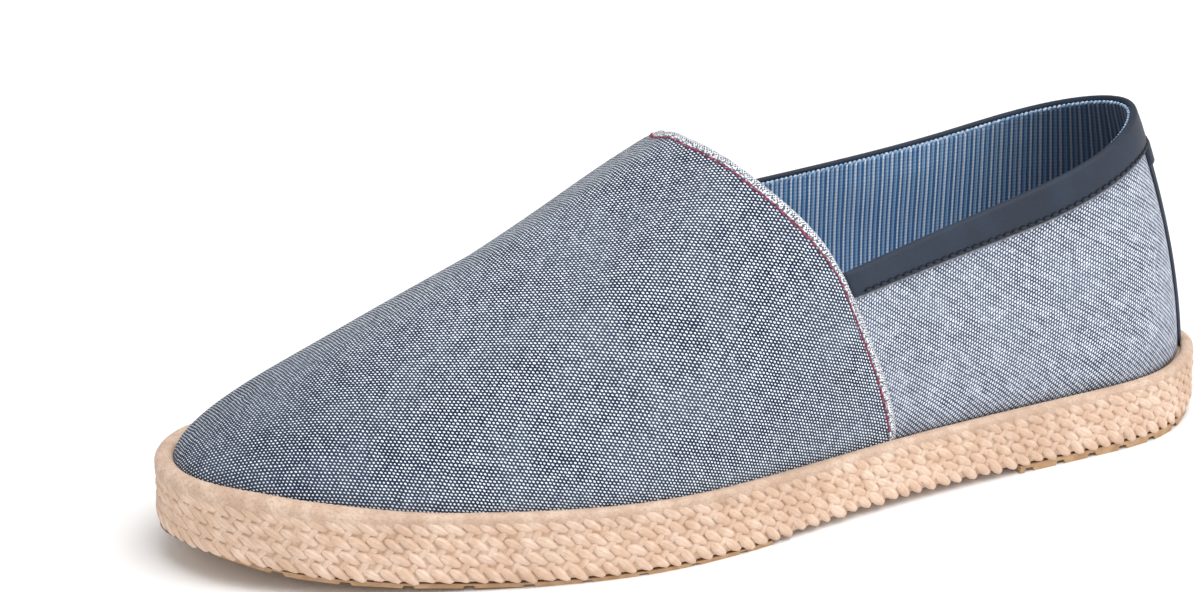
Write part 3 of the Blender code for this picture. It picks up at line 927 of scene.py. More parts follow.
@dataclass(frozen=True)
class CanvasFinish:
    """Plain-weave canvas, pale threads over dark ones, with slubs and a speckled selvedge."""

    name: str
    dark: str = "#0a1733"
    mid: str = "#2e4664"
    pale: str = "#f1f8ff"
    across: float = 0.00045
    between: float = 0.00096
    turn: float = 0.0
    cover: float = -0.30
    soft: float = 0.24
    slub: float = 0.40
    ribs: float = 0.22
    haze: float = 0.0
    haze_colour: str = "#8f9bad"
    selvedge: bool = False
    sheen: float = 0.08
    toe_shade: float = 0.0

    def material(self) -> bpy.types.Material:
        """Build the material on the "cloth" map.

        Returns:
            The material.
        """
        g = Graph(self.name)
        cloth = g.uv("cloth")
        turned = g.mapped(cloth, (1, 1, 1), self.turn)
        x, y, _ = g.parts(g.mapped(turned, (1 / self.across, 1 / self.between, 1)))
        x = g.plus(x, g.times(g.noise(cloth, 240, 2), 1.1))
        y = g.plus(y, g.times(g.noise(g.mapped(turned, (0.35, 1, 1)), 260, 2), 0.6))
        wave_x, wave_y = (g.math("COSINE", g.times(way, math.pi)) for way in (x, y))
        ribs = g.times(g.math("COSINE", g.times(y, 2 * math.pi)), self.ribs)
        weave = g.plus(g.times(wave_x, wave_y), ribs)
        first = g.math("ROUND", g.times(g.plus(x, y), 0.5))
        second = g.math("ROUND", g.times(g.math("SUBTRACT", x, y), 0.5))
        cell = g.add("ShaderNodeTexWhiteNoise", {"Vector": g.vector(first, second)},
                     noise_dimensions="2D").outputs[0]
        row = g.noise(g.mapped(turned, (0.10, 1, 1)), 950, 1)
        patch = g.noise(g.mapped(turned, (0.55, 1, 1)), 330, 3, 0.65)
        uneven = g.plus(g.about(cell, 0.5, 0.35), g.about(g.plus(row, patch), 1.0, self.slub))
        # Painted shade: the pale cover thins towards the toe, so the toe reads darker, as where it turns
        # away from the light.
        _, toward, _ = g.parts(g.place())
        wear_and_toe_shade = g.smooth(toward, -0.070, -0.138, self.cover, self.cover - self.toe_shade)
        cover = g.plus(weave, uneven, wear_and_toe_shade)
        dot = g.smooth(cover, -self.soft, self.soft)
        under = g.smooth(g.times(weave, -1.0), 0.1, 0.9)
        base = g.mix(g.times(under, g.plus(0.35, cell)), linear(self.dark), linear(self.mid))
        colour = g.mix(dot, base, linear(self.pale))
        cloud = g.smooth(g.noise(cloth, 45, 3), 0.3, 0.8, self.haze, self.haze + 0.22)
        colour = g.mix(cloud, colour, linear(self.haze_colour))
        if self.selvedge:
            colour = self._selvedge(g, colour)
        normal = g.bump(g.plus(dot, g.times(under, 0.45)), 0.00020, 0.9)
        normal = g.bump(g.noise(cloth, 1500, 2), 0.00006, 0.5, normal)
        return g.done(Base_Color=colour, Roughness=0.94, Normal=normal, Sheen_Weight=self.sheen,
                      Sheen_Roughness=0.5, Specular_IOR_Level=0.2)

    def _selvedge(self, g: Graph, colour: Socket) -> Socket:
        """Speckled outer line, pale line and dark seam ground along the vamp's back edge.

        Args:
            g: Graph of the finish.
            colour: Colour of the cloth.

        Returns:
            The colour with its selvedge.
        """
        far, run, _ = g.parts(g.uv("hem"))
        plain = g.vector(far, run)
        far = g.plus(far, g.about(g.noise(plain, 600, 2), 0.5, 0.00045))
        dots = g.times(g.math("SINE", g.times(run, 2 * math.pi / 0.00085)),
                       g.math("SINE", g.times(far, math.pi / 0.00042)))
        dots = g.plus(dots, g.about(g.noise(plain, 1700, 2), 0.5, 2.2))
        speck = g.mix(g.smooth(dots, -0.5, 0.3), linear("#232a38"), linear("#eef1f6"))
        pricks = g.smooth(g.noise(plain, 1500, 1), 0.43, 0.55, 0.0, 0.92)
        white = g.mix(pricks, linear("#f4f6fb"), linear("#3e4859"))
        seam = g.mix(0.55, colour, linear("#2c3446"))
        inner = g.mix(g.smooth(far, 0.00275, 0.00235), colour, seam)
        inner = g.mix(g.smooth(far, 0.00190, 0.00170), inner, white)
        return g.mix(g.smooth(far, 0.00085, 0.00070), inner, speck)


@dataclass(frozen=True)
class LiningFinish:
    """Striped lining cloth: stripes stand up the foot, with fine woven dots."""

    name: str = "striped_lining"
    period: float = 0.0052
    knot_across: float = 0.00065
    knot_up: float = 0.00105
    shade: float = 0.0
    heel_shade: float = 0.84
    stripes: Table = (
        (0.00, "#f6fbff"), (0.08, "#eef6ff"), (0.12, "#4b7db0"), (0.19, "#3b6c9f"),
        (0.24, "#9dc2e4"), (0.32, "#b4d3ee"), (0.37, "#4b7db0"), (0.45, "#37689c"),
        (0.50, "#eef6ff"), (0.58, "#e6f1ff"), (0.62, "#4b7db0"), (0.69, "#37689c"),
        (0.74, "#8bb4da"), (0.82, "#a9cdec"), (0.87, "#4475a8"), (0.96, "#3b6c9f"),
    )

    def material(self) -> bpy.types.Material:
        """Build the material on the "cloth" map.

        Returns:
            The material.
        """
        g = Graph(self.name)
        cloth = g.uv("cloth")
        u, v, _ = g.parts(cloth)
        share = g.math("FRACT", g.math("DIVIDE", u, self.period))
        ramp = g.add("ShaderNodeValToRGB", {"Fac": share})
        band = ramp.color_ramp
        while len(band.elements) > 1:
            band.elements.remove(band.elements[-1])
        band.elements[0].position, band.elements[0].color = self.stripes[0][0], linear(self.stripes[0][1])
        for place, code in self.stripes[1:]:
            band.elements.new(place).color = linear(code)
        fine = []
        for way, pitch in ((u, self.knot_across), (v, self.knot_up)):
            off = g.math("SUBTRACT", g.math("FRACT", g.math("DIVIDE", way, pitch)), 0.5)
            fine.append(g.math("POWER", g.math("ABSOLUTE", off), 2.0))
        knot = g.smooth(g.plus(*fine), 0.30, 0.04)
        colour = g.mix(g.times(g.math("SUBTRACT", 1.0, knot), 0.36), ramp.outputs[0], linear("#2b4e7b"))
        colour = g.mix(g.smooth(g.noise(cloth, 70, 3), 0.4, 0.8, 0.0, 0.08), colour, linear("#c3d6ea"))
        _, back, _ = g.parts(g.place())
        colour = g.mix(g.smooth(back, 0.080, 0.122, self.shade, self.heel_shade), colour, linear("#101c30"))
        normal = g.bump(knot, 0.00012, 0.7)
        return g.done(Base_Color=colour, Roughness=0.9, Normal=normal, Sheen_Weight=0.15,
                      Sheen_Roughness=0.5, Specular_IOR_Level=0.25)


@dataclass(frozen=True)
class LeatherFinish:
    """Smooth dark leather with a fine grain."""

    name: str
    colour: str = "#1d2737"
    wear_and_toe_shade: str = "#2b3a4f"
    rough: float = 0.55

    def material(self) -> bpy.types.Material:
        """Build the material on the object's own place.

        Returns:
            The material.
        """
        g = Graph(self.name)
        place = g.place()
        inputs = {"Vector": place, "Scale": 1300.0}
        cells = g.add("ShaderNodeTexVoronoi", inputs, feature="DISTANCE_TO_EDGE")
        grain = g.smooth(cells.outputs[0], 0.0, 0.22)
        soft = g.noise(place, 90, 3)
        colour = g.mix(g.smooth(soft, 0.3, 0.75, 0.0, 0.55), linear(self.colour), linear(self.wear_and_toe_shade))
        colour = g.mix(g.times(g.math("SUBTRACT", 1.0, grain), 0.25), colour, linear("#171c24"))
        normal = g.bump(grain, 0.00004, 0.45)
        normal = g.bump(g.noise(place, 420, 3), 0.00012, 0.35, normal)
        rough = g.smooth(soft, 0.2, 0.8, self.rough - 0.06, self.rough + 0.08)
        return g.done(Base_Color=colour, Roughness=rough, Normal=normal, Specular_IOR_Level=0.35)


@dataclass(frozen=True)
class JuteFinish:
    """Plaited jute: fine fibres along each strand, pale straw with brown hollows."""

    name: str
    light: str = "#e8cfbb"
    base: str = "#d8b9a1"
    deep: str = "#b9977e"
    grain_map: str = "grain"
    along: float = 2.0
    round: float = 16.0
    on_place: bool = False

    def material(self) -> bpy.types.Material:
        """Build the material on the strand's own map, or on the object's place.

        Returns:
            The material.
        """
        g = Graph(self.name)
        place = g.place()
        strand = place if self.on_place else g.uv(self.grain_map)
        stretched = g.mapped(strand, (self.round, self.along, 1))
        fibre = g.noise(stretched, 1.0 if not self.on_place else 400.0, 3, 0.65)
        tint = g.noise(place, 210, 2, 0.6)
        broad = g.noise(place, 38, 2, 0.5)
        colour = g.mix(g.smooth(tint, 0.36, 0.66), linear(self.base), linear(self.light))
        colour = g.mix(g.smooth(broad, 0.4, 0.7, 0.0, 0.3), colour, linear(self.deep))
        colour = g.mix(g.smooth(fibre, 0.56, 0.30, 0.0, 0.55), colour, linear(self.deep))
        normal = g.bump(fibre, 0.0005, 0.55)
        normal = g.bump(g.noise(place, 2600, 2), 0.0001, 0.4, normal)
        return g.done(Base_Color=colour, Roughness=0.88, Normal=normal, Sheen_Weight=0.1,
                      Sheen_Roughness=0.6, Specular_IOR_Level=0.25)


@dataclass(frozen=True)
class PlainFinish:
    """Small plain finish with a fine relief, for rubber, threads and the mostly hidden grey strip under the
    binding, a backing tape that also stands for painted shade.
    """

    name: str
    colour: str
    second: str
    scale: float = 300.0
    rough: float = 0.7
    depth: float = 0.0001

    def material(self) -> bpy.types.Material:
        """Build the material on the object's own place.

        Returns:
            The material.
        """
        g = Graph(self.name)
        place = g.place()
        speck = g.noise(place, self.scale, 3, 0.6)
        colour = g.mix(g.smooth(speck, 0.35, 0.7), linear(self.colour), linear(self.second))
        normal = g.bump(g.noise(place, self.scale * 3, 2), self.depth, 0.6)
        return g.done(Base_Color=colour, Roughness=self.rough, Normal=normal, Specular_IOR_Level=0.35)


class Slot(Enum):
    """Material slots of the record."""

    RUBBER = "rubber"
    JUTE = "jute"
    FOOTBED = "footbed_cloth"
    CANVAS = "canvas"
    BINDING = "binding_leather"
    STRIP = "strip_leather"


def dress(item: Piece, material: bpy.types.Material,
          replaces: Sequence[str] = ()) -> Piece:
    """Give a piece its finish and its ride.

    Args:
        item: The piece, in place.
        material: Its finish.
        replaces: Solids that it stands for.

    Returns:
        The same piece.
    """
    item.data.materials.clear()
    item.data.materials.append(material)
    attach(item, "root")
    if replaces:
        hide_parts(*replaces)
    LOG.info("%s: %d faces", item.name, len(item.data.polygons))
    return item


# The jute sole


@dataclass
class JuteSole:
    """Core, plaited side and rolled rim of the sole."""

    form: SoleForm = field(default_factory=SoleForm)
    core_inset: float = 0.0007
    row_count: int = 4
    strand_pitch: float = 0.0043
    strand_half: tuple[float, float, float] = (0.00150, 0.00095, 0.00355)
    cross_half: tuple[float, float, float] = (0.00120, 0.00080, 0.00235)
    strand_slope: float = 31.0
    cross_slope: float = 52.0
    twist_pitch: float = 0.0018
    twist_depth: float = 0.00020
    canvas_gap: float = 0.0010
    rim_section: Table = (
        (1.35, 0.16, 0.0), (0.85, 0.02, 0.0), (0.45, -0.03, 0.0), (0.12, 0.16, 0.0), (0.0, 0.50, 0.0),
        (0.03, 0.82, 0.25), (0.16, 0.97, 0.62), (0.36, 1.0, 0.92), (0.62, 1.0, 1.0),
    )

    def __post_init__(self) -> None:
        """Measure the outline."""
        self.path = SolePath(self.form)

    def build(self) -> None:
        """Build and dress every piece."""
        self._core()
        self._plait()
        self._rim()

    def _rim_base(self, along: Array) -> Array:
        """Height at which the plait meets the rim."""
        return self.form.rim(along) - self.form.rim_tall(along) * 0.75

    def _core(self) -> None:
        """Closed body behind the plait, with the footbed on top and the underside."""
        outer, inner = self.path.level_pairs(110)
        run = np.concatenate([outer, inner[1:-1], outer[:1]])
        plan, out, along = self.path.at(run)
        form = self.form
        bottom, rim, wide = form.bottom(along), form.rim(along), form.rim_across(along)
        middle = plan.copy()
        for k in range(len(run)):
            other = (len(run) - 1 - k) % (len(run) - 1)
            middle[k] = (plan[k] + plan[other]) / 2
        ledge, behind = rim - form.ledge, 0.0009
        rows = [
            (1.0, 0.0, bottom), (0.6, 0.0, bottom), (0.25, 0.0, bottom), (0.0, 0.0022, bottom),
            (0.0, 0.0013, bottom + 0.0004), (0.0, self.core_inset, bottom + 0.0018),
            (0.0, self.core_inset, self._rim_base(along)), (0.0, behind, rim - form.rim_tall(along) * 0.4),
            (0.0, behind + 0.4 * wide, rim - 0.0009), (0.0, wide + 0.0002, ledge),
            (0.25, 0.003, ledge - 0.0005), (0.6, 0.003, ledge - 0.0008), (1.0, 0.0, ledge - 0.0010),
        ]
        grid = []
        for share, inset, height in rows:
            inset = np.broadcast_to(inset, along.shape)[:, None]
            edge = plan - out * inset
            level = np.broadcast_to(height, along.shape)
            grid.append(np.column_stack([edge + (middle - edge) * share, level]))
        points = np.stack(grid, 1)
        points[-1] = points[0]
        core = grid_object("jute_core", points, closed=(True, False))
        finish = JuteFinish("jute_core_weave", "#dac0ab", "#c9ab93", "#a88970", along=1.0, round=3.0,
                            on_place=True)
        dress(core, finish.material(), ("midsole",))

    def _side_point(self, run: float, share: float,
                    inset: float) -> tuple[Array, Array, Array]:
        """One place on the plaited side.

        Args:
            run: Length round the sole.
            share: Share of the plait's height.
            inset: Distance inward.

        Returns:
            The place, its outward direction and its heading round the sole.
        """
        plan, out, along = self.path.at(np.array([run]))
        ahead, _, _ = self.path.at(np.array([run + 0.0005]))
        low, high = float(self.form.bottom(along)[0]), float(self._rim_base(along)[0])
        tuck = 0.0012 * max(0.0, 1 - share * 7) ** 2
        flat = plan[0] - out[0] * (inset + tuck)
        heading = unit(np.append(ahead[0] - plan[0], 0.0))
        return np.append(flat, low + share * (high - low)), np.append(out[0], 0.0), heading

    def _plait(self) -> None:
        """Rows of slanting strands with smaller ones crossing between them."""
        rng = np.random.default_rng(5)
        places = []
        count = int(round(self.path.total / self.strand_pitch))
        pitch = self.path.total / count
        up = np.array([0.0, 0.0, 1.0])
        for row in range(self.row_count):
            mid = (row + 0.5) / self.row_count
            slope = math.radians(self.strand_slope + (9 if row == 0 else 0))
            for k in range(count):
                run = (k + 0.37 * row) * pitch + rng.normal(0, 0.00016)
                at = mid + rng.normal(0, 0.008)
                inset = self.strand_half[1] * 0.9 + rng.normal(0, 0.00007)
                point, out, heading = self._side_point(run, at, inset)
                angle = slope + rng.normal(0, 0.07)
                along = math.cos(angle) * heading + math.sin(angle) * up + out * 0.13
                swell = 1 + rng.normal(0, 0.06)
                half = tuple(h * swell for h in self.strand_half)
                places.append(place_matrix(point, along, out, half))
        for row in range(1, self.row_count):
            mid = row / self.row_count
            for k in range(count):
                run = (k + 0.37 * row + 0.32) * pitch + rng.normal(0, 0.00016)
                inset = self.cross_half[1] * 0.9 + 0.00018
                point, out, heading = self._side_point(run, mid + rng.normal(0, 0.006), inset)
                angle = math.radians(180 - self.cross_slope) + rng.normal(0, 0.09)
                along = math.cos(angle) * heading + math.sin(angle) * up + out * 0.06
                places.append(place_matrix(point, along, out, self.cross_half))
        plait = scatter("jute_plait", places)
        dress(plait, JuteFinish("jute_strands", along=1.6, round=15.0).material())

    def _rim(self) -> None:
        """Rolled rim of slanting fibres round the foot of the canvas."""
        form = self.form
        count = int(round(self.path.total / self.twist_pitch)) * 4
        run = np.linspace(0, self.path.total, count + 1)
        plan, out, along = self.path.at(run)
        plan[-1], out[-1] = plan[0], out[0]
        wide, tall = form.rim_across(along), form.rim_tall(along)
        across = spline(np.array(self.rim_section), False, 17)
        points = np.zeros((count + 1, len(across), 3))
        for j, (drop, inset, reach) in enumerate(across):
            points[:, j, :2] = plan - out * (inset * wide + reach * self.canvas_gap)[:, None]
            points[:, j, 2] = form.rim(along) - drop * tall
        normal = grid_normals(points, True)
        reach = np.concatenate([[0], np.cumsum(np.linalg.norm(np.diff(points, axis=1), axis=2).mean(0))])
        phase = run[:, None] / (self.path.total / (count / 4)) - reach[None, :] / 0.0021
        rng = np.random.default_rng(9)
        turns = count // 4 + 1
        swell = np.interp(np.arange(count + 1) / 4, np.arange(turns), rng.normal(1, 0.3, turns))
        swell[-1] = swell[0]
        lift = self.twist_depth * swell[:, None] * (np.abs(np.sin(math.pi * phase)) - 0.75)
        points = points + normal * lift[:, :, None]
        points[-1] = points[0]
        uv = np.stack(np.meshgrid(run, reach, indexing="ij"), -1) / 0.0021
        rim = grid_object("jute_rim", points, {"grain": uv}, closed=(True, False))
        facing(rim, np.array([0, 1.0, 0.0]))
        finish = JuteFinish("jute_rim_fibres", "#dcc3af", "#caad98", "#ac8d77", along=4.5, round=2.2)
        dress(rim, finish.material())


# The canvas upper


@dataclass
class CanvasUpper:
    """Vamp, quarters, lining, cord edge and the red thread of the upper."""

    form: UpperForm = field(default_factory=UpperForm)
    cloth: float = 0.0009
    quarter_cloth: float = 0.0007
    lining_cloth: float = 0.0005
    vamp_wave: float = 0.00018
    quarter_wave: float = 0.00012
    lining_depth: float = 0.0019
    vamp_steps: int = 200
    rise_steps: int = 56
    map_step: int = 4
    grain: float = 80.0
    quarter_grain: float = -45.0
    roll_start: float = 0.0870
    roll_span: float = 0.0060
    roll_drop: float = 0.0012
    roll_side: float = -0.0010
    roll_blend: float = 0.0110
    cord_radius: float = 0.00030
    thread_inset: float = 0.00225
    thread_pitch: float = 0.0019
    thread_half: tuple[float, float, float] = (0.00034, 0.00020, 0.00084)

    def __post_init__(self) -> None:
        """Prepare the surface."""
        self.surface = UpperSurface(self.form)

    def build(self) -> None:
        """Build and dress every piece."""
        self._vamp()
        self._quarters()
        self._lining()
        self._edge_cord()
        self._red_thread()

    def _waves(self, points: Array, normal: Array, depth: float, seed: float) -> Array:
        """Very soft unevenness of worked cloth.

        Args:
            points: Points by turn and rise.
            normal: Outward normals there.
            depth: Depth of a wave.
            seed: Phase of the waves.

        Returns:
            The moved points.
        """
        x, y, z = points[..., 0], points[..., 1], points[..., 2]
        wave = (np.sin(x * 95 + y * 60 + seed) * np.sin(y * 82 - z * 70 + seed * 1.7)
                + 0.6 * np.sin(z * 160 + y * 45 + seed * 2.3) * np.sin(x * 150 + seed))
        return points + normal * (wave * depth)[..., None]

    def vamp_grid(self) -> tuple[Array, Array]:
        """Points and normals of the vamp.

        Returns:
            Points and normals by turn and rise.
        """
        turns = np.linspace(self.form.junction, 1 - self.form.junction, self.vamp_steps + 1)
        rises = np.linspace(0, 1, self.rise_steps + 1) ** 0.95
        points, normal = self.surface.walled(turns, rises, 0.0)
        return self._rolled(points), normal

    def _rolled(self, points: Array) -> Array:
        """Points lowered towards the top of the throat, where the worn cloth rolls over.

        Args:
            points: Points of the cloth.

        Returns:
            The moved points.
        """
        share = np.clip((points[..., 2] - self.roll_start) / self.roll_span, 0, 1)
        over = np.clip((self.roll_side - points[..., 0]) / self.roll_blend, 0, 1)
        drop = self.roll_drop * share ** 2 * (3 - 2 * share) * over ** 2 * (3 - 2 * over)
        return points - drop[..., None] * np.array([0.0, 0.0, 1.0])

    def _hem(self, points: Array) -> Array:
        """Distance from the vamp's back edge, and place along that edge, for each point."""
        return beside(points, self.back_edge()[0])

    def cloth_map(self, points: Array) -> Array:
        """Flat map of the vamp, from a coarser grid laid out flat and read back smoothly.

        Args:
            points: Points by turn and rise.

        Returns:
            Flat places in metres by turn and rise.
        """
        step = self.map_step
        turns = np.linspace(self.form.junction, 1 - self.form.junction, self.vamp_steps + 1)[::step]
        away = np.zeros((len(turns), 2))
        for side, place in (("outer", turns <= 0.5), ("inner", turns > 0.5)):
            around, _, out = self.surface.foot[side]
            away[place] = pick(out, around, np.minimum(turns, 1 - turns)[place])[:, :2]
        flat = flatten(points[::step, ::step], unit(away))
        cols, rows = np.arange(0, points.shape[0], step), np.arange(0, points.shape[1], step)
        every_col, every_row = (np.arange(size).astype(float) for size in points.shape[:2])
        wide = np.stack([pick(line, rows, every_row) for line in flat])
        return np.stack([pick(line, cols, every_col) for line in wide.swapaxes(0, 1)], 1)

    def _vamp(self) -> None:
        """Outer canvas from one side of the foot over the toes to the other."""
        points, normal = self.vamp_grid()
        hem = self._hem(points)
        calm = np.clip(hem[..., 0] / 0.009, 0, 1)
        points = self._waves(points, normal * calm[..., None], self.vamp_wave, 0.4)
        vamp = grid_object("vamp_canvas", points, {"cloth": self.cloth_map(points), "hem": hem})
        facing(vamp, normal[0, 0])
        thicken(vamp, self.cloth)
        finish = CanvasFinish("vamp_weave", selvedge=True, turn=math.radians(self.grain), toe_shade=0.24)
        dress(vamp, finish.material(), ("upper",))

    def _quarters(self) -> None:
        """Outer canvas round the heel, tucked under the vamp's edge."""
        under = 0.012
        turns = np.linspace(-(self.form.junction + under), self.form.junction + under, 221)
        rises = np.linspace(0, 1, 41)
        points, normal = self.surface.walled(turns, rises, self.form.step + 0.0001)
        tuck = np.clip((np.abs(turns) - self.form.junction + 0.002) / 0.006, 0, 1)
        points = points - normal * (tuck * 0.0004)[:, None, None]
        points = self._waves(points, normal, self.quarter_wave, 2.1)
        run = arc_length(points[:, 12])
        uv = np.stack([np.repeat((run - run[len(run) // 2])[:, None], len(rises), 1), climbed(points)], -1)
        quarters = grid_object("quarter_canvas", points, {"cloth": uv})
        facing(quarters, normal[0, 0])
        thicken(quarters, self.quarter_cloth)
        finish = CanvasFinish(
            "quarter_weave", dark="#1c2638", mid="#46516a", pale="#e9f0ff", across=0.00039, between=0.00116,
            turn=math.radians(self.quarter_grain), cover=-0.10, soft=0.31, ribs=0.32, slub=0.85,
            haze=0.05, haze_colour="#a4aec0", sheen=0.15)
        dress(quarters, finish.material())

    def _lining(self) -> None:
        """Striped cloth on the inside, with soft folds below the collar."""
        turns = np.linspace(0, 1, 361)
        rises = np.linspace(0.02, 1, 49)
        points, normal = self.surface.walled(turns, rises, 0.0)
        points = self._rolled(points)
        normal[-1] = normal[0]
        signed = np.minimum(turns, 1 - turns)
        vamp = np.clip((signed - self.form.junction + 0.004) / 0.008, 0, 1)
        top = np.linspace(0, 1, len(rises))
        depth = self.lining_depth + 0.0002 * (1 - vamp)[:, None] * np.ones_like(top)
        run = arc_length(points[:, 30])
        ripple = (np.sin(run / 0.0165 * 2 * math.pi + 0.6 * np.sin(run / 0.031)) * 0.5
                  + np.sin(run / 0.041 * 2 * math.pi + 1.1) * 0.5)
        fade = (np.clip((top - 0.35) / 0.4, 0, 1) * np.clip((1.0 - top) / 0.12, 0, 1))[None, :]
        ripple = (ripple * (1 - vamp))[:, None] * fade
        sag = (0.5 * np.sin(top * 9.0)[None, :] * np.sin(run / 0.047)[:, None]) * fade * (1 - vamp)[:, None]
        depth = depth + 0.00018 * (ripple + 1) * fade + 0.0003 * (sag + 0.5) * fade
        points = points - normal * depth[..., None]
        points[-1] = points[0]
        across = beside(points[..., :2], points[:, -1, :2])[..., 1]
        across[-1] = across[0] + arc_length(points[:, -1, :2])[-1]
        uv = np.stack([across, climbed(points)], -1)
        lining = grid_object("striped_lining", points, {"cloth": uv}, closed=(True, False))
        facing(lining, -normal[0, 0])
        thicken(lining, self.lining_cloth)
        dress(lining, LiningFinish().material())

    def back_edge(self) -> tuple[Array, Array]:
        """Points and normals of the vamp's back edge, from the outer foot over the throat to the inner.

        Returns:
            Points and normals, evenly spaced.
        """
        rises = np.linspace(0.03, 1, 60)
        junction = self.form.junction
        first, first_n = self.surface.walled(np.array([junction, junction + 0.001]), rises, 0.0)
        round_top = np.linspace(junction, 1 - junction, 200)
        top, top_n = self.surface.walled(round_top, np.array([0.995, 1.0]), 0.0)
        last, last_n = self.surface.walled(np.array([1 - junction - 0.001, 1 - junction]), rises, 0.0)
        points = self._rolled(np.vstack([first[0], top[1:-1, 1], last[1][::-1]]))
        normals = np.vstack([first_n[0], top_n[1:-1, 1], last_n[1][::-1]])
        run = arc_length(points)
        even = np.linspace(0, run[-1], 420)
        return pick(points, run, even), unit(pick(normals, run, even))

    def _inward(self, points: Array, normals: Array) -> Array:
        """Direction from the back edge into the vamp.

        Args:
            points: Points of the back edge.
            normals: Outward normals there.

        Returns:
            Directions of length one.
        """
        tangent = unit(np.gradient(points, axis=0))
        side = unit(np.cross(normals, tangent))
        middle = np.array([0.0, -0.06, 0.05])
        flip = np.sign(((middle - points) * side).sum(1))
        return side * np.sign(np.median(flip))

    def _edge_cord(self) -> None:
        """Thin pale cord that ends the vamp's back edge."""
        points, normals = self.back_edge()
        inward = self._inward(points, normals)
        angle = np.linspace(0, 2 * math.pi, 9)[:-1]
        ring = np.stack([np.cos(angle), np.sin(angle)], -1) * self.cord_radius
        middle = points + inward * 0.0001 - normals * (self.cord_radius * 0.9)
        cord = sweep_object("vamp_edge_cord", list(zip(middle, inward, normals)), ring)
        finish = PlainFinish("edge_cord_thread", "#7d8592", "#f5f6fa", 1500.0, 0.85, 0.00012)
        dress(cord, finish.material())

    def _red_thread(self) -> None:
        """Red stitches just inside the selvedge."""
        points, normals = self.back_edge()
        inward = self._inward(points, normals)
        line = points + inward * self.thread_inset
        grid, grid_n = self.vamp_grid()
        flat, flat_n = grid.reshape(-1, 3), grid_n.reshape(-1, 3)
        for k in range(len(line)):
            near = int(np.argmin(((flat - line[k]) ** 2).sum(1)))
            away = float(np.dot(line[k] - flat[near], flat_n[near]))
            line[k] = line[k] - flat_n[near] * away
        run = arc_length(line)
        rng = np.random.default_rng(3)
        places = []
        for k in range(2, int(run[-1] / self.thread_pitch) - 1):
            start = (k + rng.normal(0, 0.07)) * self.thread_pitch
            spot, ahead, out = step_along(line, normals, run, start, 0.5 * self.thread_pitch)
            side = np.cross(out, ahead)
            along = ahead + side * rng.normal(0.1, 0.20)
            half = (*self.thread_half[:2], self.thread_half[2] + rng.normal(0, 0.00012))
            spot = spot + out * 0.00008 + side * rng.normal(0, 0.00011)
            places.append(place_matrix(spot, along, out, half))
        thread = scatter("red_thread", places, 8, 6)
        finish = PlainFinish("crimson_thread", "#6f1f37", "#b04c67", 1400.0, 0.8, 0.00008)
        dress(thread, finish.material())


# The leather trim


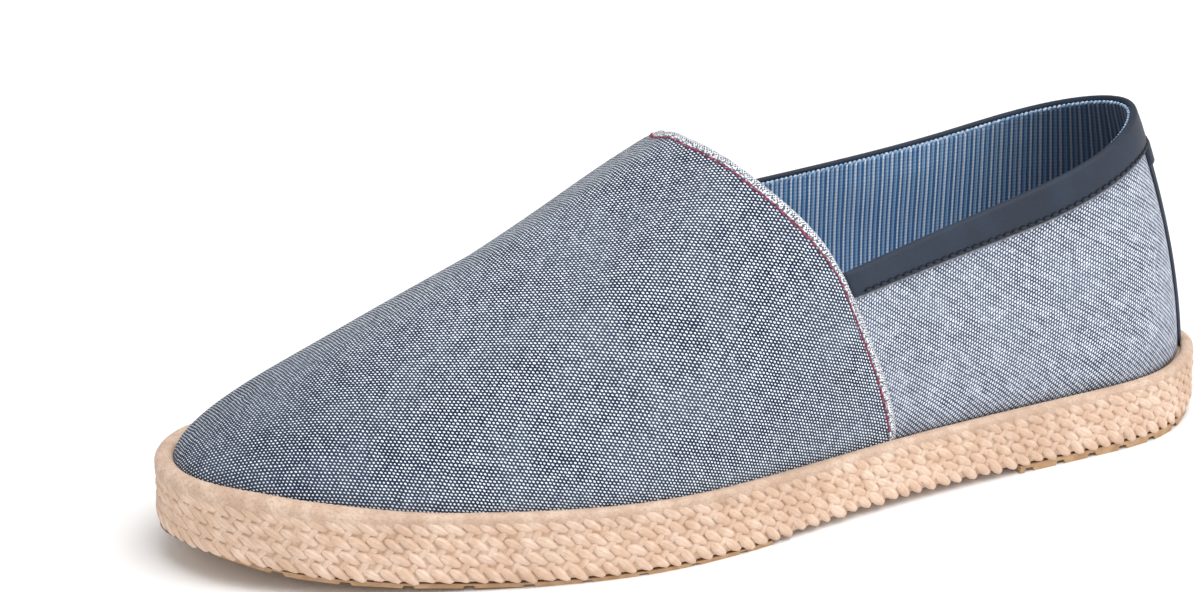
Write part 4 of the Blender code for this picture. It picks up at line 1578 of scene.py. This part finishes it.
@dataclass
class LeatherTrim:
    """Collar binding with its stitches, and the strip over the heel seam."""

    form: UpperForm = field(default_factory=UpperForm)
    leather: float = 0.0010
    width: float = 0.0085
    width_front: float = 0.0062
    heel_drop: float = 0.0022
    stop: float = 0.001
    lip: float = 0.0004
    top_round: float = 0.0011
    stitch_up: float = 0.0010
    stitch_pitch: float = 0.0026
    stitch_half: tuple[float, float, float] = (0.00044, 0.00050, 0.00098)
    bead_pitch: float = 0.0013
    bead_half: tuple[float, float, float] = (0.00042, 0.00045, 0.00072)
    strip_width: float = 0.0120
    tab: float = 0.0050
    tab_step: float = 0.0008

    def __post_init__(self) -> None:
        """Prepare the surface."""
        self.surface = UpperSurface(self.form)

    def build(self) -> None:
        """Build and dress every piece."""
        self._binding()
        self._strip()

    def _frames(self, turns: Array) -> tuple[Array, Array, Array, Array]:
        """Fine surface lines: points, normals, rising directions and lengths from the foot.

        Args:
            turns: Turns of the lines.

        Returns:
            The four arrays by turn and rise.
        """
        fine = np.linspace(0, 1, 81)
        points, normal = self.surface.walled(turns, fine, 0.0)
        rise = unit(np.gradient(points, axis=1))
        return points, normal, rise, climbed(points)

    def _at_depth(self, turns: Array, depth: Array) -> tuple[Array, Array, Array]:
        """Points, normals and rising directions at depths below the collar's edge, by turn and depth.

        Args:
            turns: Turns of the lines.
            depth: Depths below the edge, by turn and depth.

        Returns:
            The three arrays by turn and depth.
        """
        points, normal, rise, run = self._frames(turns)
        found = []
        for values in (points, normal, rise):
            rows = [pick(values[i], run[i], run[i, -1] - depth[i]) for i in range(len(turns))]
            found.append(np.stack(rows))
        return found[0], unit(found[1]), unit(found[2])

    def _binding(self) -> None:
        """Leather folded over the edge: outer face with a sewn groove, rounded top and inner lip."""
        end = self.form.junction - self.stop
        turns = np.linspace(-end, end, 241)
        front = np.abs(turns) / self.form.junction
        width = self.width + (self.width_front - self.width) * np.clip((front - 0.45) / 0.55, 0, 1)
        width = width + self.heel_drop * np.exp(-(front / 0.13) ** 2)
        base = self.form.gap - self.form.step
        full = self.leather
        groove = self.stitch_up / MM
        rows = [(0.0, 0.15), (0.0, 0.60), (0.10, 0.86), (0.45, 0.98), (groove - 0.35, 0.95), (groove, 0.62),
                (groove + 0.35, 0.96), (groove + 1.2, 1.08)]
        depths = np.array([[w - d * MM for d, _ in rows] + [w * 0.45, w * 0.2, 0.0] for w in width])
        lifts = np.array([base + full * share for share in [s for _, s in rows] + [1.12, 1.06, 1.0]])
        points, normal, rise = self._at_depth(turns, depths)
        keep = 0.35 + 0.65 * np.clip((end - np.abs(turns)) / 0.012, 0, 1) ** 0.5
        lifts = base + (lifts[:, None] - base) * keep
        faces = [points[:, k] + normal[:, k] * lifts[k][:, None] for k in range(depths.shape[1])]
        top, out, up = points[:, -1], normal[:, -1], rise[:, -1]
        radius_out, radius_up = self.top_round, self.form.gap + full * 0.9
        centre = full - radius_out
        for angle in np.radians([22, 45, 68, 90]):
            lift = base + (centre + radius_out * math.cos(angle)) * keep
            faces.append(top + out * lift[:, None] + up * (radius_up * math.sin(angle)))
        inner = -self.form.step - self.lip
        for off, climb in ((0.0003, radius_up * 0.93), (-0.0001, radius_up * 0.6),
                           (-0.0001, -0.0004), (0.0003, -0.0008)):
            faces.append(top + out * (inner + off) + up * climb)
        faces += [top + out * base, points[:, 0] + normal[:, 0] * base]
        grid = np.stack(faces, 1)
        grid = np.concatenate([grid, grid[:, :1]], 1)
        binding = grid_object("collar_leather", grid, closed=(False, True))
        close_ends(binding)
        dress(binding, LeatherFinish("binding_grain").material(), ("collar_binding",))
        self._binding_stitches(turns, width, base)
        self._tape_and_shade(turns, width, base)
        self._beading(turns)

    def _binding_stitches(self, turns: Array, width: Array, base: float) -> None:
        """Dark stitches in the groove along the binding's lower edge.

        Args:
            turns: Turns of the binding.
            width: Its width at each turn.
            base: Height of its inner face over the surface.
        """
        depth = (width - self.stitch_up)[:, None]
        points, normal, _ = self._at_depth(turns, depth)
        line = points[:, 0] + normal[:, 0] * (base + self.leather * 0.96)
        run = arc_length(line)
        places = []
        for k in range(1, int(run[-1] / self.stitch_pitch)):
            spot, ahead, out = step_along(line, normal[:, 0], run, k * self.stitch_pitch)
            along = ahead + np.cross(out, ahead) * 0.22
            places.append(place_matrix(spot, along, out, self.stitch_half))
        stitches = scatter("binding_stitches", places, 8, 6)
        finish = PlainFinish("navy_thread", "#080b11", "#1a202a", 1500.0, 0.4, 0.00008)
        dress(stitches, finish.material())

    def _tape_and_shade(self, turns: Array, width: Array, base: float) -> None:
        """Thin grey strip that peeps out under the leather's lower edge: a backing tape, and painted shade
        under that edge.

        Args:
            turns: Turns of the binding.
            width: Its width at each turn.
            base: Height of its inner face over the surface.
        """
        depths = np.stack([width + 0.0007, width + 0.0006, width - 0.0006, width - 0.0007], 1)
        points, normal, _ = self._at_depth(turns, depths)
        lifts = (base - 0.0001, base + 0.0003, base + 0.0003, base - 0.0001)
        grid = np.stack([points[:, k] + normal[:, k] * lifts[k] for k in range(4)], 1)
        grid = np.concatenate([grid, grid[:, :1]], 1)
        tape_and_shade_strip = grid_object("binding_tape_and_shade", grid, closed=(False, True))
        close_ends(tape_and_shade_strip)
        # Painted shade: the grey colour stands partly for the backing tape and partly for the shade under
        # the binding's lower edge.
        finish = PlainFinish("backing_tape_and_shade", "#6d7079", "#989aa3", 1200.0, 0.9, 0.0001)
        dress(tape_and_shade_strip, finish.material())

    def _beading(self, turns: Array) -> None:
        """Small woven beads of the lining's edge inside the collar.

        Args:
            turns: Turns of the binding.
        """
        points, normal, rise = self._at_depth(turns, np.full((len(turns), 1), 0.0001))
        line = points[:, 0] - normal[:, 0] * (self.form.step + self.lip + 0.0007) + rise[:, 0] * 0.0001
        run = arc_length(line)
        places = []
        for k in range(1, int(run[-1] / self.bead_pitch)):
            spot, ahead, out = step_along(line, normal[:, 0], run, k * self.bead_pitch)
            up = unit(pick(rise[:, 0], run, np.array([k * self.bead_pitch]))[0])
            places.append(place_matrix(spot, ahead * 0.8 + up * 0.6, -out, self.bead_half))
        beads = scatter("lining_beading", places, 8, 5)
        finish = PlainFinish("lining_edge_thread", "#6f9ac4", "#d6e6f5", 900.0, 0.85, 0.0001)
        dress(beads, finish.material())

    def _strip(self) -> None:
        """Strip over the heel seam, with its folded tab at the top."""
        points, _, _, run = self._frames(np.array([-0.001, 0.0, 0.001]))
        reach = float(run[1, -1])
        around, foot, _ = self.surface.foot["outer"]
        half_turn = float(np.interp(self.strip_width / 2, arc_length(foot), around))
        top = self.width + self.heel_drop + self.form.gap
        low = reach - 0.0006
        base = self.form.gap - self.form.step - 0.0002
        turns = np.linspace(-half_turn, half_turn, 15)
        edge = np.clip((1 - np.abs(np.linspace(-1, 1, 15))) / 0.12, 0, 1)
        for name, first, last, lift in (("heel_strip", low, top - 0.001, 0.0),
                                        ("heel_tab", top + self.tab, top - 0.0006, self.tab_step)):
            depth = np.linspace(first, last, 40 if lift == 0 else 12)
            depths = np.repeat(depth[None], len(turns), 0)
            at, normal, _ = self._at_depth(turns, depths)
            fall = np.clip((first - depth) / 0.0006, 0, 1)[None, :] if lift else np.ones((1, len(depth)))
            height = base + self.leather * (0.55 + 0.45 * edge[:, None]) + lift * (0.6 + 0.4 * fall)
            face = at + normal * height[..., None]
            under = at + normal * (base + lift * 0.5)
            grid = np.concatenate([face, under[::-1], face[:1]])
            strip = grid_object(name, grid, closed=(True, False))
            close_ends(strip)
            replaced = ("back_strip",) if name == "heel_strip" else ()
            finish = LeatherFinish(f"{name}_grain", colour="#2f3644", wear_and_toe_shade="#454e5e", rough=0.55)
            dress(strip, finish.material(), replaced)


# Footbed and tread


@dataclass
class Footbed:
    """Padded insole from its solid, covered with the lining's striped cloth."""

    levels: int = 2

    def build(self) -> None:
        """Build and dress the footbed."""
        mesh = bmesh.new()
        mesh.from_mesh(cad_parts["insole"].data)
        bmesh.ops.remove_doubles(mesh, verts=mesh.verts, dist=1e-6)
        layer = mesh.loops.layers.uv.new("cloth")
        for face in mesh.faces:
            for loop in face.loops:
                loop[layer].uv = (loop.vert.co.x, loop.vert.co.y)
        pad = finished("footbed", mesh)
        refine(pad, self.levels)
        dress(pad, LiningFinish("footbed_stripes", shade=0.25).material(), ("insole",))


@dataclass
class RubberTread:
    """Tan rubber tread: the solid itself with a moulded rubber finish."""

    def build(self) -> None:
        """Dress the solid."""
        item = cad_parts["outsole"]
        item.data.materials.clear()
        finish = PlainFinish("tan_rubber", "#a98663", "#bb9a78", 260.0, 0.62, 0.00015)
        item.data.materials.append(finish.material())
        LOG.info("outsole: solid dressed")


# Camera, floor and light


@dataclass(frozen=True)
class PhotoCamera:
    """Camera of the photo, from the fit of the sole and collar."""

    azimuth: float = 66.655
    elevation: float = 19.946
    roll: float = -0.899
    distance: float = 1.2999
    focal_pixels: float = 4975.3
    picture_width: float = 1200.0
    sensor: float = 36.0
    aim_right: float = -0.0233
    aim_up: float = 0.01156
    shift: tuple[float, float, float] = (-0.00023, 0.00252, 0.0)
    aim_height: float = 0.040

    def build(self) -> None:
        """Place the camera."""
        a, e, r = (math.radians(v) for v in (self.azimuth, self.elevation, self.roll))
        back = Vector((math.sin(a) * math.cos(e), -math.cos(a) * math.cos(e), math.sin(e)))
        level = Vector((math.cos(a), math.sin(a), 0))
        raised = back.cross(level)
        right = math.cos(r) * level + math.sin(r) * raised
        up = -math.sin(r) * level + math.cos(r) * raised
        spot = Vector((0, 0, self.aim_height)) + right * self.aim_right + up * self.aim_up
        spot = spot + back * self.distance - Vector(self.shift)
        data = bpy.data.cameras.new("photo_camera")
        data.sensor_width = self.sensor
        data.lens = self.focal_pixels / self.picture_width * self.sensor
        data.clip_end = 30
        item = bpy.data.objects.new("photo_camera", data)
        bpy.context.scene.collection.objects.link(item)
        turn = Matrix((right, up, back)).transposed().to_4x4()
        item.matrix_world = Matrix.Translation(spot) @ turn
        bpy.context.scene.camera = item


@dataclass(frozen=True)
class Lamp:
    """One soft rectangular lamp."""

    name: str
    spot: tuple[float, float, float]
    size: float
    watts: float

    def build(self) -> None:
        """Hang the lamp, aimed at the shoe."""
        data = bpy.data.lights.new(self.name, "AREA")
        data.size = self.size
        data.energy = self.watts
        item = bpy.data.objects.new(self.name, data)
        bpy.context.scene.collection.objects.link(item)
        aim = Vector((0, 0, 0.04)) - Vector(self.spot)
        turn = aim.to_track_quat("-Z", "Y").to_matrix().to_4x4()
        item.matrix_world = Matrix.Translation(self.spot) @ turn


@dataclass(frozen=True)
class Studio:
    """Pale floor, pale surroundings and soft lamps."""

    floor_size: float = 8.0
    world_strength: float = 0.55
    lamps: tuple[Lamp, ...] = (
        Lamp("overhead", (0.6, 0.15, 1.6), 1.6, 25.5),
        Lamp("front", (1.4, -1.3, 0.9), 1.0, 4.5),
        Lamp("heel_side", (0.9, 1.4, 0.8), 0.9, 8.0),
    )

    def build(self) -> None:
        """Build floor, world and lamps."""
        mesh = bmesh.new()
        bmesh.ops.create_grid(mesh, x_segments=1, y_segments=1, size=self.floor_size / 2)
        floor = finished("floor", mesh, False)
        finish = Graph("pale_floor")
        floor.data.materials.append(
            finish.done(Base_Color=linear("#fdfdfd"), Roughness=0.95, Specular_IOR_Level=0.1))
        world = bpy.data.worlds.new("pale_room")
        world.use_nodes = True
        sky = world.node_tree.nodes["Background"]
        sky.inputs[0].default_value = (1, 1, 1, 1)
        sky.inputs[1].default_value = self.world_strength
        bpy.context.scene.world = world
        bpy.context.scene.view_settings.view_transform = "Standard"
        for lamp in self.lamps:
            lamp.build()


def main() -> None:
    """Build the scene in order and report each piece."""
    logging.basicConfig(level=logging.INFO, format="%(message)s")
    parts = (PhotoCamera(), Studio(), RubberTread(), JuteSole(), Footbed(), CanvasUpper(), LeatherTrim())
    for part in parts:
        part.build()
        LOG.info("%s done", type(part).__name__)


if __name__ == "__main__":
    main()
